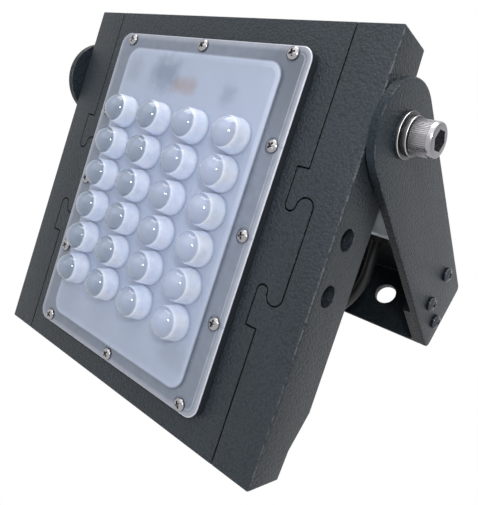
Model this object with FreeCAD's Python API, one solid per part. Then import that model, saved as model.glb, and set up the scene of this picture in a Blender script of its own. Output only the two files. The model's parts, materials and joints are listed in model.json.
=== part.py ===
import FreeCAD, Part

import math
import os

from FreeCAD import Placement, Rotation, Vector

# Infrared illuminator: a square cast head with a plate of dome lenses, two side
# rails that lock to the head by a T tongue and slot, and a bracket with two arms.
# Millimetres. X runs along the pivots, -Y is the way the lamp faces, +Z is up.
# The bracket is bolted to a wall: Y = 0 is the wall, and the origin is the middle
# of the base plate on it. The head is drawn upright in a frame of its own, with
# its front face at Y = 0 and its middle at the origin, and is then set in the
# arms, leaning forward by head_lean.

# Head as a whole
head_height = 240.0
head_width = 250.0
head_lean = 24.0

# Seam between head casting and rail, the same on both sides
rail_width = 27.5
seam_gap = 0.5
jaw_width = 7.5
jaw_shoulder = 43.75
jaw_tip = 20.0
tongue_round = 5.0

# Head casting
face_thickness = 12.0
tongue_depth = 30.0
flank_width = 24.5
fin_tip = 52.0
fin_thickness = 2.6
fin_tip_thickness = 1.8
fin_count = 15
fin_side_gap = 4.2
fin_end_margin = 5.0
edge_chamfer = 1.0

# Side rails
rail_depth = 35.0
rail_end_depth = 25.0
rail_end_reach = 19.0
rail_slope_reach = 40.0
rail_hole_diameter = 12.0
rail_hole_pitch = 30.0
rail_hole_back = 12.6
rail_hole_depth = 13.0

# Rail screws, in the bottom of the rail holes
rail_screw_diameter = 6.0
rail_screw_length = 35.0
rail_screw_head = 10.0
rail_screw_head_height = 6.0
rail_screw_socket = 5.0

# Lens plate, its seal and its screws
plate_side_margin = 42.8
plate_end_margin = 16.3
plate_corner = 8.0
plate_front = 6.0
seal_thickness = 1.0
flange_side = 14.7
flange_end = 9.5
field_corner = 10.0
field_rise = 1.5
plate_wall = 2.0
chamber_inset = 1.5
dome_columns = 4
dome_rows = 6
dome_side_margin = 17.55
dome_end_margin = 39.7
dome_drop = 4.4
dome_base_radius = 10.7
dome_top_radius = 9.7
dome_height = 16.5
plate_screw_side_inset = 7.1
plate_screw_corner_inset = 12.8
plate_screw_end_inset = 4.5
plate_screw_diameter = 4.0
plate_screw_length = 12.0
plate_screw_head = 7.6
plate_screw_head_height = 2.6
seat_diameter = 9.4
seat_depth = 0.5
seat_notch_width = 1.6
plate_edge = 0.5

# Board, emitters and parts under the lens plate
board_side_gap = 3.5
board_end_gap = 6.2
board_thickness = 1.6
emitter_size = 5.0
emitter_base = 0.8
emitter_dome_radius = 1.7
board_screw_inset = 7.0
board_screw_diameter = 3.0
board_screw_length = 8.0
board_screw_head = 5.5
board_screw_head_height = 1.6
# (across and width as shares of the board's width, down from its top, height, thickness)
board_part_boxes = (
    (-0.262, 0.258, 5.5, 10.5, 2.2),
    (-0.0625, 0.125, 11.0, 6.0, 2.0),
    (0.24, 0.04, 14.0, 5.0, 1.8),
)

# Pivot
pivot_back = 19.0
pivot_drop = 47.0
pivot_hole_depth = 24.0
bolt_diameter = 12.0
bolt_length = 35.0
bolt_head_diameter = 18.0
bolt_head_height = 12.0
bolt_socket = 10.0
bolt_socket_depth = 6.0
flat_washer_diameter = 24.0
flat_washer_thickness = 2.5
spring_washer_diameter = 20.4
spring_washer_thickness = 3.2
spring_washer_slit = 1.6
spacer_diameter = 34.0
spacer_thickness = 3.0

# Bracket
arm_thickness = 5.0
arm_round = 27.5
arm_corner = 4.0
arm_reach = 164.0
pivot_rise = 24.0
base_height = 50.5
base_thickness = 5.0
base_bend = 3.0
flange_reach = 43.0
base_hole_diameter = 15.0
base_hole_inset = 39.0
arm_screws_at = ((34.0, 17.0), (34.0, -6.0), (13.0, -9.0))
arm_screw_diameter = 5.0
arm_screw_length = 12.0
arm_screw_head = 9.5
arm_screw_head_height = 3.7
arm_edge = 0.6

# Driver housing on the fin tips
housing_side_margin = 17.0
housing_height = 46.0
housing_drop = 24.0
housing_depth = 68.0
housing_wall = 3.0
housing_corner = 6.0
lid_thickness = 3.0
lid_seal_thickness = 1.0
lid_screw_inset = 7.0
lid_screw_end_inset = 38.0
lid_screw_diameter = 4.0
lid_screw_length = 12.0
lid_screw_head = 7.6
lid_screw_head_height = 2.6
lid_boss_diameter = 9.0
housing_boss_side_inset = 24.0
housing_boss_inset = 12.0
housing_boss_diameter = 14.0
housing_screw_diameter = 5.0
housing_screw_length = 16.0
housing_screw_head = 8.5
housing_screw_head_height = 5.0
housing_screw_socket = 4.0
driver_end_gap = 46.0
driver_height = 36.0
driver_depth = 32.0

# Cable gland under the housing
gland_side_inset = 13.0
gland_back = 103.0
gland_thread_diameter = 20.0
gland_hex = 24.0
gland_hex_height = 4.0
gland_neck_height = 1.5
gland_nut_height = 19.5
gland_cone_height = 1.5
gland_claw_height = 3.4
gland_claw_diameter = 15.0
gland_thread_length = 7.0
gland_boss_diameter = 27.0
gland_boss_height = 5.0

# Lead: its points, measured from the middle of the gland where it meets the housing
lead_diameter = 7.0
lead_route = (
    (0.0, 0.0, -16.0),
    (0.0, 0.0, -39.0),
    (0.0, 1.5, -59.0),
    (-9.0, 1.5, -78.0),
    (-24.0, -2.5, -94.0),
    (-40.0, -9.0, -109.0),
    (-52.0, -18.0, -125.0),
)
connector_diameter = 15.0
connector_length = 34.0
connector_nose = 11.0
connector_neck = 6.0
connector_shoulder = 3.0
connector_cap = 9.0

# Running clearances
screw_clearance = 0.1
hole_clearance = 0.4
pivot_clearance = 0.4

X_AXIS = Vector(1, 0, 0)
Y_AXIS = Vector(0, 1, 0)
Z_AXIS = Vector(0, 0, 1)
ORIGIN = Vector(0, 0, 0)

half_height = head_height / 2
half_width = head_width / 2
module_pitch = head_width - 2 * rail_width
seam_x = module_pitch / 2
well_reach = seam_x - flank_width
fin_reach = seam_x - 2 * jaw_width - fin_side_gap
fin_pitch = (2 * fin_reach - fin_thickness) / (fin_count - 1)
pivot_up = half_height - pivot_drop
arm_inner = half_width + spacer_thickness
arm_outer = arm_inner + arm_thickness
base_hole_x = arm_inner - base_hole_inset

plate_width = head_width - 2 * plate_side_margin
plate_height = head_height - 2 * plate_end_margin
field_width = plate_width - 2 * flange_side
field_height = plate_height - 2 * flange_end
field_front = plate_front + field_rise
dome_pitch_x = (field_width - 2 * dome_side_margin) / (dome_columns - 1)
dome_pitch_z = (field_height - 2 * dome_end_margin) / (dome_rows - 1)
plate_screw_side_x = plate_width / 2 - plate_screw_side_inset
plate_screw_corner_x = plate_width / 2 - plate_screw_corner_inset
plate_screw_end_z = plate_height / 2 - plate_screw_end_inset
plate_screw_mid_z = plate_screw_end_z / 2
board_width = field_width - 2 * board_side_gap
board_height = field_height - 2 * board_end_gap
board_screw_x = board_width / 2 - board_screw_inset
board_screw_z = board_height / 2 - board_screw_inset

housing_width = head_width - 2 * housing_side_margin
housing_top = half_height - housing_drop
housing_bottom = housing_top - housing_height
housing_back = fin_tip + housing_depth
housing_boss_x = housing_width / 2 - housing_boss_side_inset
lid_screw_x = housing_width / 2 - lid_screw_end_inset
driver_width = housing_width - 2 * driver_end_gap
gland_x = housing_width / 2 - gland_side_inset
lead_points = [(gland_x + across, gland_back + back, housing_bottom + up) for across, back, up in lead_route]
pivot_in_wall = Vector(0, -arm_reach, pivot_rise)
pivot_in_head = Vector(0, pivot_back, pivot_up)


def set_in_bracket(shape):
    """Move a shape from the head's own frame into the bracket."""
    turn = Rotation(X_AXIS, head_lean)
    place = Placement(pivot_in_wall - turn.multVec(pivot_in_head), turn)
    moved = shape.copy()
    moved.Placement = place.multiply(moved.Placement)
    return moved


def rounded_slab(width, height, corner, front, back):
    """Upright slab with round corners between two Y planes."""
    slab = Part.makeBox(width, back - front, height, Vector(-width / 2, front, -height / 2))
    upright = [edge for edge in slab.Edges if abs(edge.BoundBox.YLength - (back - front)) < 1e-6
               and edge.BoundBox.XLength < 1e-6 and edge.BoundBox.ZLength < 1e-6]
    return slab.makeFillet(corner, upright)


def hexagon(across_flats, height, base, axis):
    """Hexagonal prism from a base point along an axis."""
    radius = across_flats / math.sqrt(3)
    corners = [Vector(radius * math.cos(math.radians(60 * k)), radius * math.sin(math.radians(60 * k)), 0)
               for k in range(7)]
    prism = Part.Face(Part.makePolygon(corners)).extrude(Vector(0, 0, height))
    prism.Placement = Placement(base, Rotation(Z_AXIS, axis))
    return prism


def turned(profile, base, axis):
    """Solid turned from (radius, height) points, standing on a base point."""
    points = [Vector(radius, 0, height) for radius, height in profile]
    solid = Part.Face(Part.makePolygon(points + [points[0]])).revolve(ORIGIN, Z_AXIS, 360)
    solid = Part.makeSolid(solid.Shells[0]) if solid.ShapeType != "Solid" else solid
    solid.Placement = Placement(base, Rotation(Z_AXIS, axis))
    return solid


def socket_screw(diameter, length, head, head_height, socket, base, axis):
    """Cylinder head screw: base is under its head, axis points out of the head."""
    rim = head_height * 0.1
    body = turned(((0, -length), (diameter / 2, -length), (diameter / 2, 0), (head / 2, 0),
                   (head / 2, head_height - rim), (head / 2 - rim, head_height), (0, head_height)),
                  base, axis)
    return body.cut(hexagon(socket, head_height, base + axis * (head_height * 0.5), axis))


def pan_screw(diameter, length, head, head_height, base, axis):
    """Pan head screw with a crowned head and a dimple for its recess."""
    body = turned(((0, -length), (diameter / 2, -length), (diameter / 2, 0), (head / 2, 0),
                   (head / 2, head_height * 0.45), (head * 0.42, head_height * 0.8),
                   (head * 0.26, head_height), (0, head_height)), base, axis)
    dimple = Part.makeCone(0.05, head * 0.16, head_height * 0.6, base + axis * (head_height * 0.4), axis)
    return body.cut(dimple)


def seam_edges(shift, down):
    """Edges of the seam from the top of the head to its bottom, or back up."""
    root_x = seam_x - jaw_width
    neck_x = seam_x - jaw_width / 2
    tip_z = jaw_tip + jaw_width / 2
    tip_x = seam_x + 2 * tongue_round
    crown_x = seam_x + tongue_round
    points = [(seam_x, half_height), (seam_x, jaw_shoulder), (root_x, jaw_shoulder), (root_x, tip_z)]
    half = []
    for (x0, z0), (x1, z1) in zip(points, points[1:]):
        half.append(Part.LineSegment(Vector(x0, 0, z0), Vector(x1, 0, z1)))
    half.append(Part.Arc(Vector(root_x, 0, tip_z), Vector(neck_x, 0, jaw_tip), Vector(seam_x, 0, tip_z)))
    half.append(Part.Arc(Vector(seam_x, 0, tip_z), Vector(crown_x, 0, tip_z + tongue_round),
                         Vector(tip_x, 0, tip_z)))
    edges = [curve.toShape() for curve in half]
    mirrored = [edge.mirror(ORIGIN, Z_AXIS) for edge in reversed(edges)]
    flat = Part.LineSegment(Vector(tip_x, 0, tip_z), Vector(tip_x, 0, -tip_z)).toShape()
    whole = edges + [flat] + mirrored
    for edge in whole:
        edge.translate(Vector(shift, 0, 0))
    return whole if down else list(reversed(whole))


def module_face(growth=0.0):
    """Front outline of the head casting, grown outwards where a gap is wanted."""
    left = seam_x - module_pitch
    top = Part.LineSegment(Vector(left, 0, half_height), Vector(seam_x, 0, half_height)).toShape()
    bottom = Part.LineSegment(Vector(seam_x, 0, -half_height), Vector(left, 0, -half_height)).toShape()
    edges = [top] + seam_edges(0, True) + [bottom] + seam_edges(-module_pitch, False)
    face = Part.Face(Part.Wire(Part.__sortEdges__(edges)))
    return face.makeOffset2D(growth) if growth else face


def plate_screw_places():
    """(across, up) of the twelve lens plate screws, and whether each has a notch."""
    places = []
    for side in (-1, 1):
        for z in (plate_screw_end_z, -plate_screw_end_z):
            places.append((side * plate_screw_corner_x, z, False))
        for z in (plate_screw_mid_z, 0.0, -plate_screw_mid_z):
            places.append((side * plate_screw_side_x, z, True))
    places += [(0.0, plate_screw_end_z, False), (0.0, -plate_screw_end_z, False)]
    return places


def dome_places():
    """(across, up) of each dome and of the emitter behind it."""
    return [((column - (dome_columns - 1) / 2) * dome_pitch_x,
             (row - (dome_rows - 1) / 2) * dome_pitch_z - dome_drop)
            for column in range(dome_columns) for row in range(dome_rows)]


def board_screw_places():
    """(across, up) of the board screws."""
    return [(x, z) for x in (-board_screw_x, board_screw_x) for z in (-board_screw_z, board_screw_z)]


def housing_boss_places():
    """(across, up) of the bosses that carry the driver housing."""
    return [(x, z) for x in (-housing_boss_x, housing_boss_x)
            for z in (housing_bottom + housing_boss_inset, housing_top - housing_boss_inset)]


def lid_screw_places():
    """(across, up) of the lid screws: two above, two below and one at each end."""
    edge_x = housing_width / 2 - lid_screw_inset
    places = [(x, z) for x in (-lid_screw_x, lid_screw_x)
              for z in (housing_bottom + lid_screw_inset, housing_top - lid_screw_inset)]
    return places + [(side * edge_x, (housing_bottom + housing_top) / 2) for side in (-1, 1)]


def holes_along_y(places, diameter, front, back):
    """Round cutters along Y at (across, up) places."""
    return [Part.makeCylinder(diameter / 2, back - front, Vector(place[0], front, place[1]), Y_AXIS)
            for place in places]


def rail_hole_heights():
    """Heights of the two deep holes in each rail."""
    return (rail_hole_pitch / 2, -rail_hole_pitch / 2)


def rail_screw_cutters(side, diameter):
    """Cutters for the shanks of the rail screws on one side."""
    start = half_width - rail_hole_depth
    length = rail_screw_length + 1.0
    return [Part.makeCylinder(diameter / 2, length, Vector(side * start, rail_hole_back, z), X_AXIS * -side)
            for z in rail_hole_heights()]


def make_module():
    """Head casting: interlocking front plate, tongue and slot block, fins and bosses."""
    front = module_face().extrude(Vector(0, tongue_depth, 0))
    well = Part.makeBox(2 * well_reach, tongue_depth, head_height,
                        Vector(-well_reach, face_thickness, -half_height))
    body = front.cut(well)
    fin_height = head_height - 2 * fin_end_margin
    parts = []
    for index in range(fin_count):
        x = (index - (fin_count - 1) / 2) * fin_pitch
        section = ((x - fin_thickness / 2, face_thickness - 1), (x + fin_thickness / 2, face_thickness - 1),
                   (x + fin_tip_thickness / 2, fin_tip), (x - fin_tip_thickness / 2, fin_tip))
        points = [Vector(across, back, -fin_height / 2) for across, back in section]
        parts.append(Part.Face(Part.makePolygon(points + [points[0]])).extrude(Vector(0, 0, fin_height)))
    for x, z in housing_boss_places():
        parts.append(Part.makeCylinder(housing_boss_diameter / 2, fin_tip - face_thickness + 1,
                                       Vector(x, face_thickness - 1, z), Y_AXIS))
    body = body.multiFuse(parts).removeSplitter()
    screw_reach = plate_screw_length - plate_front
    screws = [(x, z) for x, z, _ in plate_screw_places()]
    cutters = holes_along_y(screws, plate_screw_diameter + 2 * screw_clearance, -1, screw_reach + 1)
    cutters += holes_along_y(board_screw_places(), board_screw_diameter + 2 * screw_clearance, -1,
                             board_screw_length)
    cutters += holes_along_y(housing_boss_places(), housing_screw_diameter + 2 * screw_clearance,
                             fin_tip + housing_wall - housing_screw_length - 1, fin_tip + 1)
    for side in (-1, 1):
        cutters += rail_screw_cutters(side, rail_screw_diameter + 2 * screw_clearance)
    return body.cut(Part.makeCompound(cutters))


def rail_bar(side):
    """Bar of one rail before its seam is cut, deeper in the middle than at its ends."""
    slope_start = half_height - rail_end_reach
    slope_end = half_height - rail_slope_reach
    half = [(0.0, half_height), (rail_end_depth, half_height - 2.0),
            (rail_end_depth + 1.5, slope_start), (rail_depth, slope_end)]
    outline = half + [(y, -z) for y, z in reversed(half)]
    inner = side * (seam_x - 2 * jaw_width)
    points = [Vector(inner, y, z) for y, z in outline]
    face = Part.Face(Part.makePolygon(points + [points[0]]))
    return face.extrude(Vector(side * half_width - inner, 0, 0))


def make_rail(side):
    """Side rail: slot on the right one, tongue on the left one."""
    bar = rail_bar(side)
    mould = module_face(seam_gap).extrude(Vector(0, tongue_depth, 0))
    behind = Part.makeBox(module_pitch - seam_gap * 2, rail_depth, head_height,
                          Vector(-seam_x + seam_gap, tongue_depth - 0.01, -half_height))
    rail = bar.cut(mould).cut(behind)
    long_edges = [edge for edge in rail.Edges if abs(edge.BoundBox.XMin - side * half_width) < 1e-6
                  and abs(edge.BoundBox.XMax - side * half_width) < 1e-6]
    rail = rail.makeChamfer(edge_chamfer, long_edges)
    cutters = rail_screw_cutters(side, rail_screw_diameter + 2 * screw_clearance)
    for z in rail_hole_heights():
        cutters.append(Part.makeCylinder(rail_hole_diameter / 2, rail_hole_depth,
                                         Vector(side * half_width, rail_hole_back, z), X_AXIS * -side))
    cutters.append(Part.makeCylinder(bolt_diameter / 2 + screw_clearance, pivot_hole_depth,
                                     Vector(side * half_width, pivot_back, pivot_up), X_AXIS * -side))
    rail = rail.cut(Part.makeCompound(cutters))
    return max(rail.Solids, key=lambda solid: solid.Volume)


def make_rail_screws():
    """Four screws in the bottom of the deep rail holes."""
    seat = half_width - rail_hole_depth
    return Part.makeCompound([
        socket_screw(rail_screw_diameter, rail_screw_length, rail_screw_head, rail_screw_head_height,
                     rail_screw_socket, Vector(side * seat, rail_hole_back, z), X_AXIS * side)
        for side in (-1, 1) for z in rail_hole_heights()])


def make_dome(x, z):
    """One dome lens that stands on the raised field."""
    ball_y = dome_height - dome_top_radius
    sink = 0.5
    wall = [Vector(0, 0, -sink), Vector(dome_base_radius, 0, -sink), Vector(dome_base_radius, 0, 0),
            Vector(dome_top_radius, 0, ball_y)]
    edges = [Part.LineSegment(a, b).toShape() for a, b in zip(wall, wall[1:])]
    bend = math.sqrt(0.5) * dome_top_radius
    edges.append(Part.Arc(wall[-1], Vector(bend, 0, ball_y + bend), Vector(0, 0, dome_height)).toShape())
    edges.append(Part.LineSegment(Vector(0, 0, dome_height), wall[0]).toShape())
    dome = Part.Face(Part.Wire(edges)).revolve(ORIGIN, Z_AXIS, 360)
    dome = dome.Solids[0] if dome.Solids else Part.makeSolid(dome)
    dome.Placement = Placement(Vector(x, -field_front, z), Rotation(Z_AXIS, Y_AXIS * -1))
    return dome


def make_lens_plate():
    """Lens plate: flange, raised field and domes in one moulding, hollow behind."""
    flange = rounded_slab(plate_width, plate_height, plate_corner, -plate_front, -seal_thickness)
    field = rounded_slab(field_width, field_height, field_corner, -field_front, -seal_thickness)
    chamber = rounded_slab(field_width - 2 * chamber_inset, field_height - 2 * chamber_inset,
                           field_corner - chamber_inset, -(field_front - plate_wall), 0)
    outline = [edge for edge in flange.Edges if abs(edge.BoundBox.YMin + plate_front) < 1e-6
               and abs(edge.BoundBox.YMax + plate_front) < 1e-6]
    flange = flange.makeChamfer(plate_edge, outline)
    plate = flange.fuse(field).removeSplitter()
    plate = plate.multiFuse([make_dome(x, z) for x, z in dome_places()])
    cutters = [chamber]
    for x, z, notched in plate_screw_places():
        cutters.append(Part.makeCylinder(plate_screw_diameter / 2 + hole_clearance, plate_front + 1,
                                         Vector(x, -plate_front - 1, z), Y_AXIS))
        cutters.append(Part.makeCylinder(seat_diameter / 2, seat_depth + 1,
                                         Vector(x, -plate_front - 1, z), Y_AXIS))
        if notched:
            edge = math.copysign(plate_width / 2 + 1, x)
            cutters.append(Part.makeBox(abs(edge - x), seat_depth + 1, seat_notch_width,
                                        Vector(min(edge, x), -plate_front - 1, z - seat_notch_width / 2)))
    return plate.cut(Part.makeCompound(cutters[:1])).cut(Part.makeCompound(cutters[1:]))


def make_plate_seal():
    """Flat seal ring between the lens plate and the casting."""
    ring = rounded_slab(plate_width - 1.0, plate_height - 1.0, plate_corner - 0.5, -seal_thickness, 0)
    inner = rounded_slab(field_width, field_height, field_corner, -seal_thickness - 1, 1)
    screws = [(x, z) for x, z, _ in plate_screw_places()]
    holes = holes_along_y(screws, plate_screw_diameter + 2 * hole_clearance, -seal_thickness - 1, 1)
    return ring.cut(inner).cut(Part.makeCompound(holes))


def make_plate_screws():
    """Twelve pan head screws of the lens plate."""
    seat = -(plate_front - seat_depth)
    return Part.makeCompound([
        pan_screw(plate_screw_diameter, plate_screw_length, plate_screw_head, plate_screw_head_height,
                  Vector(x, seat, z), Y_AXIS * -1) for x, z, _ in plate_screw_places()])


def make_board():
    """Metal-core board that carries the emitters."""
    board = rounded_slab(board_width, board_height, field_corner - chamber_inset, -board_thickness, 0)
    holes = holes_along_y(board_screw_places(), board_screw_diameter + 2 * screw_clearance,
                          -board_thickness - 1, 1)
    return board.cut(Part.makeCompound(holes))


def make_emitters():
    """One infrared emitter behind each dome."""
    emitters = []
    for x, z in dome_places():
        base = Part.makeBox(emitter_size, emitter_base, emitter_size,
                            Vector(x - emitter_size / 2, -board_thickness - emitter_base, z - emitter_size / 2))
        ball = Part.makeSphere(emitter_dome_radius, Vector(x, -board_thickness - emitter_base, z),
                               Y_AXIS * -1, 0, 90, 360)
        emitters.append(base.fuse(ball))
    return Part.makeCompound(emitters)


def make_board_parts():
    """Drive parts at the top of the board, seen dimly through the lens plate."""
    return Part.makeCompound([
        Part.makeBox(width * board_width, tall, height,
                     Vector((across - width / 2) * board_width, -board_thickness - tall,
                            board_height / 2 - down - height / 2))
        for across, width, down, height, tall in board_part_boxes])


def make_board_screws():
    """Four small screws that hold the board to the casting."""
    return Part.makeCompound([
        pan_screw(board_screw_diameter, board_screw_length, board_screw_head, board_screw_head_height,
                  Vector(x, -board_thickness, z), Y_AXIS * -1) for x, z in board_screw_places()])


def make_pivot_bolts():
    """Socket head bolt through each arm into its rail."""
    under_head = arm_outer + flat_washer_thickness + spring_washer_thickness
    bolts = []
    for side in (-1, 1):
        base = Vector(side * under_head, pivot_back, pivot_up)
        axis = X_AXIS * side
        rim = 1.2
        body = turned(((0, -bolt_length), (bolt_diameter / 2 - 1, -bolt_length),
                       (bolt_diameter / 2, 1 - bolt_length), (bolt_diameter / 2, 0),
                       (bolt_head_diameter / 2, 0), (bolt_head_diameter / 2, bolt_head_height - rim),
                       (bolt_head_diameter / 2 - rim, bolt_head_height), (0, bolt_head_height)), base, axis)
        socket = hexagon(bolt_socket, bolt_socket_depth, base + axis * (bolt_head_height - bolt_socket_depth),
                         axis)
        bolts.append(body.cut(socket))
    return Part.makeCompound(bolts)


def ring(outer, inner, start, thickness, side):
    """Ring round the pivot on one side of the head."""
    base = Vector(side * start, pivot_back, pivot_up)
    axis = X_AXIS * side
    return Part.makeCylinder(outer / 2, thickness, base, axis).cut(
        Part.makeCylinder(inner / 2, thickness, base, axis))


def make_flat_washers():
    """Flat washer on the outer face of each arm."""
    return Part.makeCompound([
        ring(flat_washer_diameter, bolt_diameter + 2 * hole_clearance, arm_outer, flat_washer_thickness, side)
        for side in (-1, 1)])


def make_spring_washers():
    """Split spring washer under each bolt head."""
    washers = []
    for side in (-1, 1):
        washer = ring(spring_washer_diameter, bolt_diameter + 2 * hole_clearance,
                      arm_outer + flat_washer_thickness, spring_washer_thickness, side)
        slit = Part.makeBox(3 * spring_washer_thickness, spring_washer_diameter, spring_washer_slit,
                            Vector(-1.5 * spring_washer_thickness, 0, -spring_washer_slit / 2))
        slit.Placement = Placement(Vector(side * (arm_outer + flat_washer_thickness
                                                  + spring_washer_thickness / 2), pivot_back, pivot_up),
                                   Rotation(X_AXIS, 35))
        washers.append(washer.cut(slit))
    return Part.makeCompound(washers)


def make_spacers():
    """Spacer between each rail and its arm."""
    return Part.makeCompound([
        ring(spacer_diameter, bolt_diameter + 2 * hole_clearance, half_width, spacer_thickness, side)
        for side in (-1, 1)])


def arm_outline():
    """Corners of the arm's outline in the wall frame, as (outward, up) points."""
    foot_low = (0.0, -base_height / 2)
    foot_high = (0.0, base_height / 2)
    centre = (arm_reach, pivot_rise)

    def touch(foot, sign):
        dx, dz = centre[0] - foot[0], centre[1] - foot[1]
        distance = math.hypot(dx, dz)
        length = math.sqrt(distance ** 2 - arm_round ** 2)
        angle = math.atan2(dz, dx) + sign * math.asin(arm_round / distance)
        return foot[0] + length * math.cos(angle), foot[1] + length * math.sin(angle)

    return foot_low, touch(foot_low, -1), touch(foot_high, 1), foot_high


def arm_prism(inner, outer):
    """Plate with the arm's outline between two X planes, before its holes."""
    foot_low, touch_low, touch_high, foot_high = [Vector(inner, -out, up) for out, up in arm_outline()]
    tip = Vector(inner, -(arm_reach + arm_round), pivot_rise)
    edges = [Part.LineSegment(foot_low, touch_low).toShape(), Part.Arc(touch_low, tip, touch_high).toShape(),
             Part.LineSegment(touch_high, foot_high).toShape(), Part.LineSegment(foot_high, foot_low).toShape()]
    prism = Part.Face(Part.Wire(edges)).extrude(Vector(outer - inner, 0, 0))
    corners = [edge for edge in prism.Edges
               if edge.BoundBox.YLength < 1e-6 and edge.BoundBox.ZLength < 1e-6
               and abs(edge.BoundBox.YMax) < 1e-6]
    return prism.makeFillet(arm_corner, corners)


def make_arm(side):
    """Bracket arm: flat plate with a rounded top and four holes."""
    plate = arm_prism(side * arm_inner, side * arm_outer)
    rim = [edge for edge in plate.Edges if abs(edge.BoundBox.XMin - side * arm_outer) < 1e-6
           and abs(edge.BoundBox.XMax - side * arm_outer) < 1e-6]
    plate = plate.makeChamfer(arm_edge, rim)
    cutters = [Part.makeCylinder(bolt_diameter / 2 + pivot_clearance, arm_thickness,
                                 Vector(side * arm_inner, -arm_reach, pivot_rise), X_AXIS * side)]
    for out, up in arm_screws_at:
        cutters.append(Part.makeCylinder(arm_screw_diameter / 2 + hole_clearance, arm_thickness,
                                         Vector(side * arm_inner, -out, up), X_AXIS * side))
    return plate.cut(Part.makeCompound(cutters))


def make_arm_screws():
    """Three screws through the foot of each arm."""
    return Part.makeCompound([
        pan_screw(arm_screw_diameter, arm_screw_length, arm_screw_head, arm_screw_head_height,
                  Vector(side * arm_outer, -out, up), X_AXIS * side)
        for side in (-1, 1) for out, up in arm_screws_at])


def make_base_plate():
    """Base plate folded forward at both ends and along its top, with a round hole near each end."""
    inside = arm_inner - base_thickness
    channel = [(-arm_inner, -flange_reach), (-arm_inner, 0), (arm_inner, 0), (arm_inner, -flange_reach),
               (inside, -flange_reach), (inside, -base_thickness), (-inside, -base_thickness),
               (-inside, -flange_reach)]
    points = [Vector(x, y, -base_height / 2) for x, y in channel]
    body = Part.Face(Part.makePolygon(points + [points[0]])).extrude(Vector(0, 0, base_height))
    upright = [edge for edge in body.Edges if edge.BoundBox.XLength < 1e-6 and edge.BoundBox.YLength < 1e-6]
    outer_bends = [edge for edge in upright if abs(edge.BoundBox.YMax) < 1e-6]
    inner_bends = [edge for edge in upright if abs(edge.BoundBox.YMax + base_thickness) < 1e-6]
    body = body.makeFillet(base_bend, outer_bends).makeFillet(base_bend, inner_bends[:2])
    fold = Part.makeBox(2 * inside, flange_reach, base_thickness,
                        Vector(-inside, -flange_reach, base_height / 2 - base_thickness))
    body = body.fuse(fold).removeSplitter()
    body = body.common(arm_prism(-arm_inner, arm_inner))
    cutters = [Part.makeCylinder(base_hole_diameter / 2, base_thickness + 2,
                                 Vector(side * base_hole_x, -base_thickness - 1, 0), Y_AXIS)
               for side in (-1, 1)]
    for side in (-1, 1):
        for out, up in arm_screws_at:
            cutters.append(Part.makeCylinder(arm_screw_diameter / 2 + screw_clearance, base_thickness + 2,
                                             Vector(side * (arm_inner + 1), -out, up), X_AXIS * -side))
    return body.cut(Part.makeCompound(cutters))


def housing_slab(width, height, corner, front, back):
    """Rounded slab at the height of the driver housing."""
    slab = rounded_slab(width, height, corner, front, back)
    slab.translate(Vector(0, 0, (housing_bottom + housing_top) / 2))
    return slab


def make_housing():
    """Driver housing: open box with lid bosses, standing on the fin tips."""
    height = housing_top - housing_bottom
    rim = housing_back - lid_thickness - lid_seal_thickness
    shell = housing_slab(housing_width, height, housing_corner, fin_tip, rim)
    hollow = housing_slab(housing_width - 2 * housing_wall, height - 2 * housing_wall,
                          housing_corner - housing_wall + 1, fin_tip + housing_wall, rim + 1)
    shell = shell.cut(hollow)
    bosses = [Part.makeCylinder(lid_boss_diameter / 2, rim - fin_tip - 1, Vector(x, fin_tip + 1, z), Y_AXIS)
              for x, z in lid_screw_places()]
    pad = Part.makeCylinder(gland_boss_diameter / 2, housing_wall + gland_boss_height,
                            Vector(gland_x, gland_back, housing_bottom), Z_AXIS)
    outside = housing_slab(housing_width, height, housing_corner, fin_tip, rim)
    shell = shell.multiFuse(bosses + [pad.common(outside)]).removeSplitter()
    reach = lid_screw_length - lid_thickness - lid_seal_thickness
    cutters = holes_along_y(lid_screw_places(), lid_screw_diameter + 2 * screw_clearance, rim - reach - 1, rim + 1)
    cutters += holes_along_y(housing_boss_places(), housing_screw_diameter + 2 * hole_clearance,
                             fin_tip - 1, fin_tip + housing_wall + 1)
    cutters.append(Part.makeCylinder(gland_thread_diameter / 2 + screw_clearance,
                                     housing_wall + gland_boss_height + 2,
                                     Vector(gland_x, gland_back, housing_bottom - 1), Z_AXIS))
    return shell.cut(Part.makeCompound(cutters))


def make_lid_seal():
    """Flat seal under the lid."""
    height = housing_top - housing_bottom
    start = housing_back - lid_thickness - lid_seal_thickness
    seal = housing_slab(housing_width, height, housing_corner, start, start + lid_seal_thickness)
    inner = housing_slab(housing_width - 4 * housing_wall, height - 4 * housing_wall, housing_corner,
                         start - 1, start + lid_seal_thickness + 1)
    pads = holes_along_y(lid_screw_places(), lid_boss_diameter, start, start + lid_seal_thickness)
    seal = seal.cut(inner).multiFuse(pads).removeSplitter()
    holes = holes_along_y(lid_screw_places(), lid_screw_diameter + 2 * hole_clearance, start - 1, housing_back)
    return seal.cut(Part.makeCompound(holes))


def make_lid():
    """Lid of the driver housing."""
    height = housing_top - housing_bottom
    lid = housing_slab(housing_width, height, housing_corner, housing_back - lid_thickness, housing_back)
    rim = [edge for edge in lid.Edges if abs(edge.BoundBox.YMin - housing_back) < 1e-6]
    lid = lid.makeChamfer(edge_chamfer, rim)
    holes = holes_along_y(lid_screw_places(), lid_screw_diameter + 2 * hole_clearance,
                          housing_back - lid_thickness - 1, housing_back + 1)
    return lid.cut(Part.makeCompound(holes))


def make_lid_screws():
    """Six pan head screws of the lid."""
    return Part.makeCompound([
        pan_screw(lid_screw_diameter, lid_screw_length, lid_screw_head, lid_screw_head_height,
                  Vector(x, housing_back, z), Y_AXIS) for x, z in lid_screw_places()])


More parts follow.
